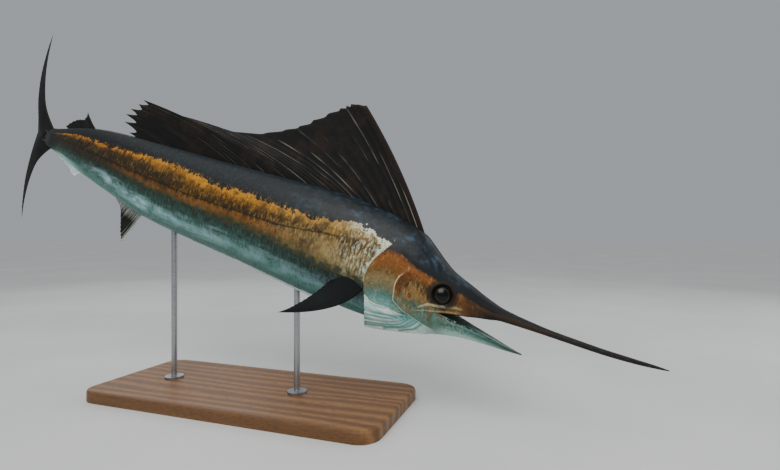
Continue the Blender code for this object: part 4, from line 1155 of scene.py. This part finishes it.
def make_fin(name, surface, rays, per_ray, rows, half, ridge, reach, look):
    """A closed thin blade. surface(t, v) gives (s, y, h), t across the rays and v along them.

    half(v) and ridge(t, v) are the half thickness and the height of the rays, in percent.
    reach(t) is the share of each ray's length that is left at its torn edge.
    """
    columns = (rays - 1) * per_ray
    step = ASIDE / columns

    def spot(t, v):
        s, y, h = np.moveaxis(surface(t, v), -1, 0)
        return place(s, y, h)

    def shape(i, j):
        right = i > columns
        t = np.where(right, 2 * columns - i, i) / columns
        v = j / rows
        real = v * reach(t)
        point = spot(t, real)
        across = spot(np.minimum(t + step, 1), real) - spot(np.maximum(t - step, 0), real)
        upward = spot(t, np.minimum(real + AHEAD, 1)) - spot(t, np.maximum(real - AHEAD, 0))
        normal = np.cross(across, upward)
        normal /= np.linalg.norm(normal, axis=-1, keepdims=True) + 1e-12
        ray = t * (rays - 1)
        crest = np.maximum(0, 1 - SHARP * np.abs(ray - np.rint(ray)))
        edge = np.sqrt(np.clip(np.minimum(t, 1 - t) * columns / 2, 0, 1))
        tip = np.sqrt(np.clip((1 - v) * rows / 2, 0, 1)) * np.clip(v * rows, 0, 1)
        thick = (half(v) + ridge(t, v) * crest) * edge * tip * PERCENT
        side = np.where(right, -1, 1)[:, None]
        length = np.linalg.norm(spot(t, real) - spot(t, 0 * real), axis=-1)
        return point + side * thick[:, None] * normal, (ray, real, length)

    mesh = mesh_of(name + "_membrane", merged([bent_grid(2 * columns, rows, shape)], 1e-6))
    mesh.attributes[WHERE].name = FIN_AT
    finish_piece(name + "_membrane", mesh, [name], look)


# %% [markdown]
# ## The sail
#
# The first dorsal fin is far taller than the body is deep. Here it is half folded, so its rays
# lean back over the trunk. Each ray could be a curve of its own, but then the membrane would
# have to be fitted between them. Instead the tips of the rays follow two curves, one for how
# far back they reach and one for how high, and the whole fin leans a little to the left.

# %% The sail's rays
SAIL_START, SAIL_END = 32.8, 86.8
SAIL_RAYS = 43
SAIL_ROOT_DEPTH = 0.55
SAIL_LEAN, SAIL_BOW = 0.9, 0.09
sail_tip_s = curve(
    (SAIL_START, 47.3), (35, 49.6), (37.3, 51.5), (39.8, 55.1), (41.3, 57.6), (43.5, 61.8),
    (45.2, 64.9), (48, 70.4), (51, 75.6), (55, 82.3), (60, 88.1), (63, 89.9), (68, 91.9),
    (74, 92.4), (81, 92), (88.6, 91.4),
)
sail_tip_h = curve(
    (SAIL_START, 21.1), (35, 20.9), (37.3, 20), (39.8, 17.5), (41.3, 15.8), (43.5, 13.85),
    (45.2, 12.8), (48, 12), (51, 12.1), (55, 12), (60, 12.7), (63, 12.3), (68, 11),
    (74, 9.6), (81, 8), (88.6, 6.3),
)


def sail_surface(t, v):
    """The sail's rays, which start side by side on the back and end on the two curves."""
    s = mix(SAIL_START, SAIL_END, t)
    lean = SAIL_LEAN * np.sin(math.pi * np.minimum(1, t * 2.2)) * (1 - t)
    root = (s, 0, back_line(s) - SAIL_ROOT_DEPTH)
    return along(bowed(root, (sail_tip_s(s), lean, sail_tip_h(s)), (0, 0, SAIL_BOW)), v)


print("the sail's first ray ends at s", sail_tip_s(SAIL_START), "h", sail_tip_h(SAIL_START))


# %% The sail's torn edge
STEPS = (35.5, 36.4, 37.4, 38.7, 40.1, 41.3, 42.5, 44.0, 46.5, 49.2, 52.5, 56.5, 60.5)
SPIKES = (60.5, 65, 69.5, 74.5, 80.5, 86.8)
step_depth = curve(
    (33.3, 0), (35, 0.016), (38, 0.024), (41, 0.024), (44, 0.014), (50, 0.018), (60.5, 0.02)
)
spike_cut = curve((60.5, 0), (65, 0.05), (69.5, 0.045), (74.5, 0.03), (80.5, 0.03), (86.8, 0.3))
spike_depth = curve(
    (60.5, 0.012), (62.5, 0.05), (67, 0.07), (72, 0.1), (78, 0.18), (86.8, 0.3)
)
DROP = 0.3  # the share of each step over which its edge drops
NICK = 0.004  # how deep the edge dips between two rays


def sail_reach(t):
    """What is left of each ray: steps along the top, deep gaps between spikes at the rear."""
    s = mix(SAIL_START, SAIL_END, t)
    step_at = np.interp(s, STEPS, np.arange(len(STEPS)))
    past = step_at - np.floor(step_at)
    stepped = step_depth(s) * np.minimum(past / DROP, (1 - past) / (1 - DROP)) * (s > STEPS[0])
    spike_at = np.interp(s, SPIKES, np.arange(len(SPIKES)))
    off_spike = np.abs(spike_at - np.rint(spike_at))
    gap = spike_cut(s) + spike_depth(s) * (1 - (1 - 2 * off_spike) ** 1.5)
    ray = t * (SAIL_RAYS - 1)
    nick = NICK * (np.abs(ray - np.rint(ray)) * 2) ** 0.7
    return 1 - np.where(s < SPIKES[0], stepped, gap) - nick


make_fin("sail", sail_surface, SAIL_RAYS, 6, 56, lambda v: mix(0.05, 0.03, v),
         lambda t, v: mix(0.035, 0.012, v) * (1 - 0.75 * rise(0.2, 0.45, t)), sail_reach,
         sail_look)

# %% [markdown]
# ## The fins near the tail
#
# Two small pairs of fins steady the fish: a second dorsal fin above the tail stalk, and two
# anal fins below. They could be copies of one shape, but each is drawn from its own outline,
# since their tips differ. Their rays start along a straight root just under the skin and end
# along a curve.

# %% Fins between two roots, whose rays end along an outline
def straight(front, rear):
    """A root line between two points (s, y, h), as a function of t."""
    return lambda t: [mix(a, b, t) for a, b in zip(front, rear)]


def fan(root_line, outline, lift=(0, 0, 0), bulge=0):
    """A fin surface from a root line (s, y, h) to the outline's curves, all functions of t."""
    out_s, out_y, out_h = outline

    def surface(t, v):
        points = along(bowed(root_line(t), (out_s(t), out_y(t), out_h(t)), lift), v)
        points[..., 1] += bulge * np.sin(math.pi * v) * (0.5 - t)
        return points

    return surface


def notched(rays, deep):
    """The share of each ray that is left, cut back by deep between the rays."""
    def reach(t):
        ray = t * (rays - 1)
        return 1 - deep * (np.abs(ray - np.rint(ray)) * 2) ** 0.8

    return reach


def thinning(root, tip):
    """The half thickness of a fin, from its root to its tip."""
    return lambda v: mix(root, tip, v)


def ridges(root, tip):
    """The height of the rays, the same right across the fin."""
    return lambda t, v: mix(root, tip, v)


# %% The second dorsal fin and the two anal fins
second_dorsal = fan(straight((97, 0, 4.8), (103.6, 0, 3.4)), (
    curve((0, 100.7), (0.08, 100.9), (0.2, 101.2), (0.5, 102.8), (0.75, 104.4), (1, 106)), level(0),
    curve((0, 7.7), (0.08, 6.9), (0.2, 6.3), (0.5, 5.9), (0.75, 5.1), (1, 3.9)),
), (0.04, 0, -0.06))
first_anal = fan(straight((82.1, 0, -5.8), (88.4, 0, -4.6)), (
    curve((0, 85.7), (0.15, 86.3), (0.45, 87.1), (0.75, 87.8), (1, 89.3)), level(0),
    curve((0, -12.2), (0.15, -11.3), (0.45, -8.7), (0.75, -6.6), (1, -5.3)),
), (-0.01, 0, -0.03))
second_anal = fan(straight((98.3, 0, -2.7), (103.2, 0, -1.5)), (
    curve((0, 100.7), (0.35, 102.1), (0.7, 104.1), (1, 107.2)), level(0),
    curve((0, -4.5), (0.35, -3.7), (0.7, -2.75), (1, -1.85)),
), (0, 0, -0.05))
for name, surface, rays, rows, nick, ridge, slot, look in (
    ("second_dorsal_fin", second_dorsal, 8, 20, 0.05, 0.05, "fin_membrane", fin_dark_look),
    ("first_anal_fin", first_anal, 14, 28, 0.04, 0.06, "fin_membrane", anal_look),
    ("second_anal_fin", second_anal, 8, 20, 0.05, 0.05, "silver_skin", silver_fin_look),
):
    make_fin(name, surface, rays, 6, rows, thinning(0.05, 0.02), ridges(ridge, 0.02),
             notched(rays, nick), look)

# %% [markdown]
# ## The pectoral fins
#
# These are the fish's arms, one behind each gill opening, held out and down like the wings of
# a glider. A flat plate would look stuck on. Their root follows the curve of the flank just
# under the skin, and the blade bulges a little, so that it catches the light across its width.

# %% The pectoral fins, held out and down
PECTORAL_FRONT, PECTORAL_REAR = (38.35, -3.1), (41.9, -2.3)  # (s, h) of the ends of the root
PECTORAL_ROOT_DEPTH = 0.5
PECTORAL_ROOT_RISE = 0.45


def pectoral_root(side):
    """The rounded root line, just under the skin."""
    def line(t):
        s, height = (mix(a, b, t) for a, b in zip(PECTORAL_FRONT, PECTORAL_REAR))
        height = height + PECTORAL_ROOT_RISE * np.sin(math.pi * t)
        belly = body_belly(s)
        y, h = section(s, angle_at(s, height, belly), belly)
        return s, side * (y - PECTORAL_ROOT_DEPTH), h

    return line


for side, word in ((1, "left"), (-1, "right")):
    reach_out = ((0, 9), (0.3, 8.5), (0.55, 7.6), (0.8, 6.3), (1, 5.1))
    surface = fan(pectoral_root(side), (
        curve((0, 47.2), (0.3, 46.3), (0.55, 45), (0.8, 43.6), (1, 42.8)),
        curve(*((t, y * side) for t, y in reach_out)),
        curve((0, -9.3), (0.3, -8.6), (0.55, -7.2), (0.8, -5.2), (1, -3.5)),
    ), (-0.26, 0.05 * side, -0.1), 0.4 * side)
    make_fin("pectoral_fin_" + word, surface, 16, 6, 40, thinning(0.1, 0.03),
             ridges(0.06, 0.02), notched(16, 0.015), pectoral_look)

# %% [markdown]
# ## The pelvic fins
#
# A sailfish has two pelvic fins, each only a few long rays, which it folds into a groove of the
# belly. They could be bent tubes. Made as fins they keep their ridges, and the same function
# that gives the belly's skin sets them just clear of it for their whole length.

# %% The pelvic fins, folded along the belly
PELVIC_START, PELVIC_END = 42.6, 70.5
PELVIC_SIDE = 0.8
PELVIC_HALF_WIDTH = 0.2
PELVIC_HALF_THICKNESS = 0.15
PELVIC_LIFT = 0.17
CLEAR = 0.0003 / PERCENT  # 0.3 mm

for side, word in ((1, "left"), (-1, "right")):
    def pelvic_surface(t, v, side=side):
        s = mix(PELVIC_START, PELVIC_END, v)
        taper = np.sqrt(1 - v) * (1 - 0.35 * v) + 0.12
        y = PELVIC_SIDE + (2 * t - 1) * PELVIC_HALF_WIDTH * taper
        angle = math.pi - np.arcsin(y / half_width(s))
        skin_y, skin_h = section(s, angle, body_belly(s), CLEAR * 1.5 + PELVIC_LIFT * taper)
        return np.stack(np.broadcast_arrays(s, side * skin_y, skin_h), -1)

    make_fin("pelvic_fin_" + word, pelvic_surface, 4, 4, 90,
             lambda v: PELVIC_HALF_THICKNESS * (1 - 0.8 * v), lambda t, v: 0.03, level(1.0),
             silver_fin_look)

# %% [markdown]
# ## The tail fin
#
# The tail is a stiff crescent of two long narrow lobes, turned to the left at the end of a
# stroke. Both could be one mesh, but the two bend differently. Each lobe is a fan of rays that
# start round the end of the stalk and swing outwards, and the two overlap in the fork.

# %% The tail fin, two long lobes
TAIL_ROOT_S = 112.3
TAIL_MIDDLE = 0.7
UPPER_FLEX, LOWER_FLEX = 0.5, 1.3
STALK_BACK, STALK_UP = 3.4, 1.6  # how far the rays' roots reach forward and outward
LOBE_KNEE = (5.2, -0.6)
OVERLAP = 0.25  # how far each lobe runs past the middle of the fork


def lobe_surface(up, height, tip_s):
    """One lobe, above (1) or below (-1) the middle of the tail."""
    edge_s = curve((0, tip_s), (0.12, tip_s + 0.4), (0.3, tip_s + 0.2), (0.55, tip_s - 1.4),
                   (0.8, FORK_S + 1.2), (1, FORK_S))
    edge_h = curve((0, height), (0.12, 0.86 * height), (0.3, 0.64 * height),
                   (0.55, 0.35 * height), (0.8, 0.12 * height), (1, -OVERLAP))

    def surface(t, v):
        root_h = STALK_UP * (1 - t) ** 0.8 - OVERLAP * t
        root = np.stack((TAIL_ROOT_S - STALK_BACK * (1 - t) ** 2, root_h), -1)
        tip = np.stack((edge_s(t), edge_h(t)), -1)
        knee = mix(root, tip, 0.45) + (1 - t)[:, None] * np.array(LOBE_KNEE)
        point = along((root, knee, tip), v)
        share = np.maximum(point[:, 1], 0) / height
        upper = -UPPER_FLEX * np.sin(math.pi * share)
        flex = upper if up > 0 else LOWER_FLEX * share ** 2
        return np.stack((point[:, 0], flex, TAIL_MIDDLE + up * point[:, 1]), -1)

    return surface


for name, up, height, tip_s in (
    ("tail_fin_upper", 1, 19.9, 122.8), ("tail_fin_lower", -1, 19.4, 121.6),
):
    make_fin(name, lobe_surface(up, height, tip_s), 22, 5, 60, thinning(0.16, 0.03),
             ridges(0.08, 0.02), notched(22, 0.01), tail_look)

# %% [markdown]
# ## The skin on the body
#
# One skin covers the bill, the head, the lower jaw, both parts of the trunk and the tail stalk,
# so that no joint between them shows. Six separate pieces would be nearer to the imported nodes,
# but the light would break at every edge.

# %% The skin as one piece
SKIN_NODES = ("bill", "head", "lower_jaw", "trunk_front", "trunk_rear", "tail_stalk")
finish_piece("sailfish_skin", skin_mesh, SKIN_NODES, skin_look)

# %% [markdown]
# ## The eyes
#
# Each eyeball is a sphere flattened from side to side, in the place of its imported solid. A thin
# rolled rim of skin closes the socket round it: a circle of small circles, which is a torus made
# by spinning one loop about the eye's axis. Blender has a ready torus too, but a spun loop can
# be given any profile later.

# %% Eyeballs and their rims
RIM_RADIUS, RIM_THICKNESS, RIM_HEIGHT = 1.22, 0.12, 0.05
wide, deep = EYE_RADIUS * PERCENT, EYE_DEPTH * PERCENT
for side, word in ((1, "left"), (-1, "right")):
    middle, outward = EYES[side]
    turn = outward.to_track_quat("Z", "Y").to_matrix().to_4x4()
    to_head = Matrix.Translation(middle) @ turn
    bm = bmesh.new()
    bmesh.ops.create_uvsphere(bm, u_segments=64, v_segments=32, radius=1)
    bmesh.ops.scale(bm, vec=(wide, wide, deep), verts=bm.verts[:])
    away = [math.hypot(vert.co.x, vert.co.y) / wide for vert in bm.verts]
    bmesh.ops.transform(bm, matrix=to_head, verts=bm.verts[:])
    ball = mesh_of("eyeball", bm)
    keep_values(ball, "eye_at", away, 0, 0)
    finish_piece("eyeball_" + word, ball, ["eye_" + word], eye_look)
    bm = bmesh.new()
    bmesh.ops.create_circle(bm, segments=12, radius=RIM_THICKNESS * PERCENT)
    bmesh.ops.rotate(bm, matrix=Matrix.Rotation(math.pi / 2, 3, "X"), verts=bm.verts[:])
    bmesh.ops.translate(bm, vec=(RIM_RADIUS * PERCENT, 0, RIM_HEIGHT * PERCENT), verts=bm.verts[:])
    bmesh.ops.spin(bm, geom=bm.verts[:] + bm.edges[:], axis=(0, 0, 1), cent=(0, 0, 0),
                   angle=math.tau, steps=72, use_merge=True)
    bmesh.ops.recalc_face_normals(bm, faces=bm.faces[:])
    bmesh.ops.transform(bm, matrix=to_head, verts=bm.verts[:])
    finish_piece("eye_rim_" + word, mesh_of("eye_rim", bm), [], lid_look)

# %% [markdown]
# ## The stand
#
# The stand is a plain oak board with two steel rods. Its parts come straight from the frame, so
# only their materials change here. Oak has long dark pores along the board and wide bands of
# growth rings: a wave texture bent by noise gives the rings, and stretched noise the pores.
# Drawn steel rod is covered in fine scratches round it, which noise squeezed along the rod
# gives. The scratches are drawn several times coarser than real ones, so that they show.

# %% Oak: sawn, sanded and oiled, so it is warm and half dull, with dark pores
oak_look, tree = new_look("oiled_oak", coat=0.1)
here = node(tree, "TexCoord").outputs["Object"]
board = node(tree, "Mapping", {"Vector": here, "Scale": (0.12, 1, 1)})
bend = node(tree, "TexNoise", {"Vector": board, "Scale": MM / 90, "Detail": 2})
bent = node(tree, "Mix", {0: 0.06, FIRST: board, SECOND: bend.outputs["Color"]}, data_type="RGBA")
WAVE = 9  # a ring every 35 mm: a wave repeats every 314 mm at scale 1
rings = node(tree, "TexWave", {"Vector": bent, "Scale": WAVE, "Distortion": 4, "Detail": 3,
                               "Detail Scale": 1.4}, bands_direction="Y")
pores = node(tree, "TexNoise", {"Vector": board, "Scale": MM / 2.2, "Detail": 3, "Roughness": 0.7})
wood = node(tree, "ValToRGB", {0: rings}, stops=(
    (0.1, "#65421f"), (0.95, "#8a6035"), (0.55, "#765029")))
wood = layered(tree, wood, ("#3a2310", (pores, 0.5, 0.36, 0.7)))
pore_bump = node(tree, "Bump", {"Height": pores, "Strength": 0.25, "Distance": 0.0006})
wire(oak_look, Base_Color=wood, Normal=pore_bump)

# %% Steel: drawn through a die, so its highlight is bright but blurred by fine scratches
steel_look, tree = new_look("drawn_steel", metal=True)
here = node(tree, "TexCoord").outputs["Object"]
around = node(tree, "Mapping", {"Vector": here, "Scale": (0.2, 0.2, 8)})
scratches = node(tree, "TexNoise", {"Vector": around, "Scale": MM / 6, "Detail": 4,
                                    "Roughness": 0.7})
tone = node(tree, "ValToRGB", {0: scratches}, stops=((0.3, "#8c8e91"), (0.7, "#b9bbbe")))
scratch_bump = node(tree, "Bump", {"Height": scratches, "Strength": 0.12, "Distance": 0.0002})
wire(steel_look, Base_Color=tone, Roughness=masked(tree, (scratches, 0.3, 0.7, 0.42, 0.24)),
     Normal=scratch_bump)

# %% Put them on the stand's own parts
for part in bpy.data.objects:
    if part.name.startswith("stand_"):
        for spot in part.material_slots:
            spot.material = oak_look if part.name == "stand_base" else steel_look
        print(part.name, [spot.material.name for spot in part.material_slots])

# %% [markdown]
# ## Studio
#
# A pale plaster floor that runs to the horizon, and a camera at the photograph's angle: level,
# a little more than a metre from the fish's right side, and just above its back. Three large
# panels give soft shadows, as softboxes do in a studio. One wide lamp overhead lights the floor
# evenly, which panels can't do far away. A small bright lamp would pick out the wet skin more
# strongly, but it would also burn out the copper bands.

# %% Floor: smooth plaster, matt and faintly clouded
FLOOR_SIZE, FLOOR_HEIGHT = 60, -0.0005  # metres, just under the board
floor_look, tree = new_look("pale_plaster", roughness=0.75)
here = node(tree, "TexCoord").outputs["Object"]
clouds = node(tree, "TexNoise", {"Vector": here, "Scale": MM / 700, "Detail": 5})
plaster = node(tree, "ValToRGB", {0: clouds}, stops=((0.35, "#c3c4c2"), (0.7, "#cdcdca")))
wire(floor_look, Base_Color=plaster)
bm = bmesh.new()
bmesh.ops.create_grid(bm, x_segments=1, y_segments=1, size=0.5)
bmesh.ops.scale(bm, vec=(FLOOR_SIZE, FLOOR_SIZE, 1), verts=bm.verts[:])
bmesh.ops.translate(bm, vec=(0, 0, FLOOR_HEIGHT), verts=bm.verts[:])
floor_mesh = mesh_of("floor", bm)
floor_mesh.materials.append(floor_look)
floor = bpy.data.objects.new("floor", floor_mesh)
bpy.context.scene.collection.objects.link(floor)
print("floor", FLOOR_SIZE, "m wide")


# %% Lights
def put(name, data, at, facing):
    """Puts a lamp or a camera in the scene. It looks along its own -Z, turned to face there."""
    thing = bpy.data.objects.new(name, data)
    thing.location = at
    thing.rotation_mode = "QUATERNION"
    thing.rotation_quaternion = Vector(facing).to_track_quat("-Z", "Y")
    bpy.context.scene.collection.objects.link(thing)
    return thing


world = bpy.data.worlds.new("studio")
world.use_nodes = True
world.node_tree.nodes["Background"].inputs["Color"].default_value = (0.8, 0.85, 0.9, 1)
world.node_tree.nodes["Background"].inputs["Strength"].default_value = 0.45
bpy.context.scene.world = world
for name, at, aim, size, power in (
    ("key", (0.4, -2.2, 2.6), (0, 0, 0.5), 2.2, 80),
    ("fill", (2.6, 1.6, 1.8), (0, 0, 0.5), 2.5, 28),
    ("back", (-2.4, 2.0, 2.2), (0, 0, 0.6), 2.0, 18),
):
    panel = bpy.data.lights.new(name, "AREA")
    panel.size, panel.energy = size, power
    put(name, panel, at, Vector(aim) - Vector(at))
overhead = bpy.data.lights.new("overhead", "SUN")
overhead.energy, overhead.angle = 0.9, math.radians(70)
put("overhead", overhead, (0, 0, 0), (0.1, 0.35, -1))
print("lamps:", *(lamp.name for lamp in bpy.data.lights))

# %% Camera
CAMERA_AT = (0.80026, -1.12390, 0.45035)
CAMERA_AIM = (-0.33233, 0.94316, 0)
lens = bpy.data.cameras.new("camera")
lens.lens, lens.sensor_width = 22.15, 36
bpy.context.scene.camera = put("camera", lens, CAMERA_AT, CAMERA_AIM)
print("camera", round(CAMERA_AT[2], 2), "m above the floor, lens", round(lens.lens, 1), "mm")
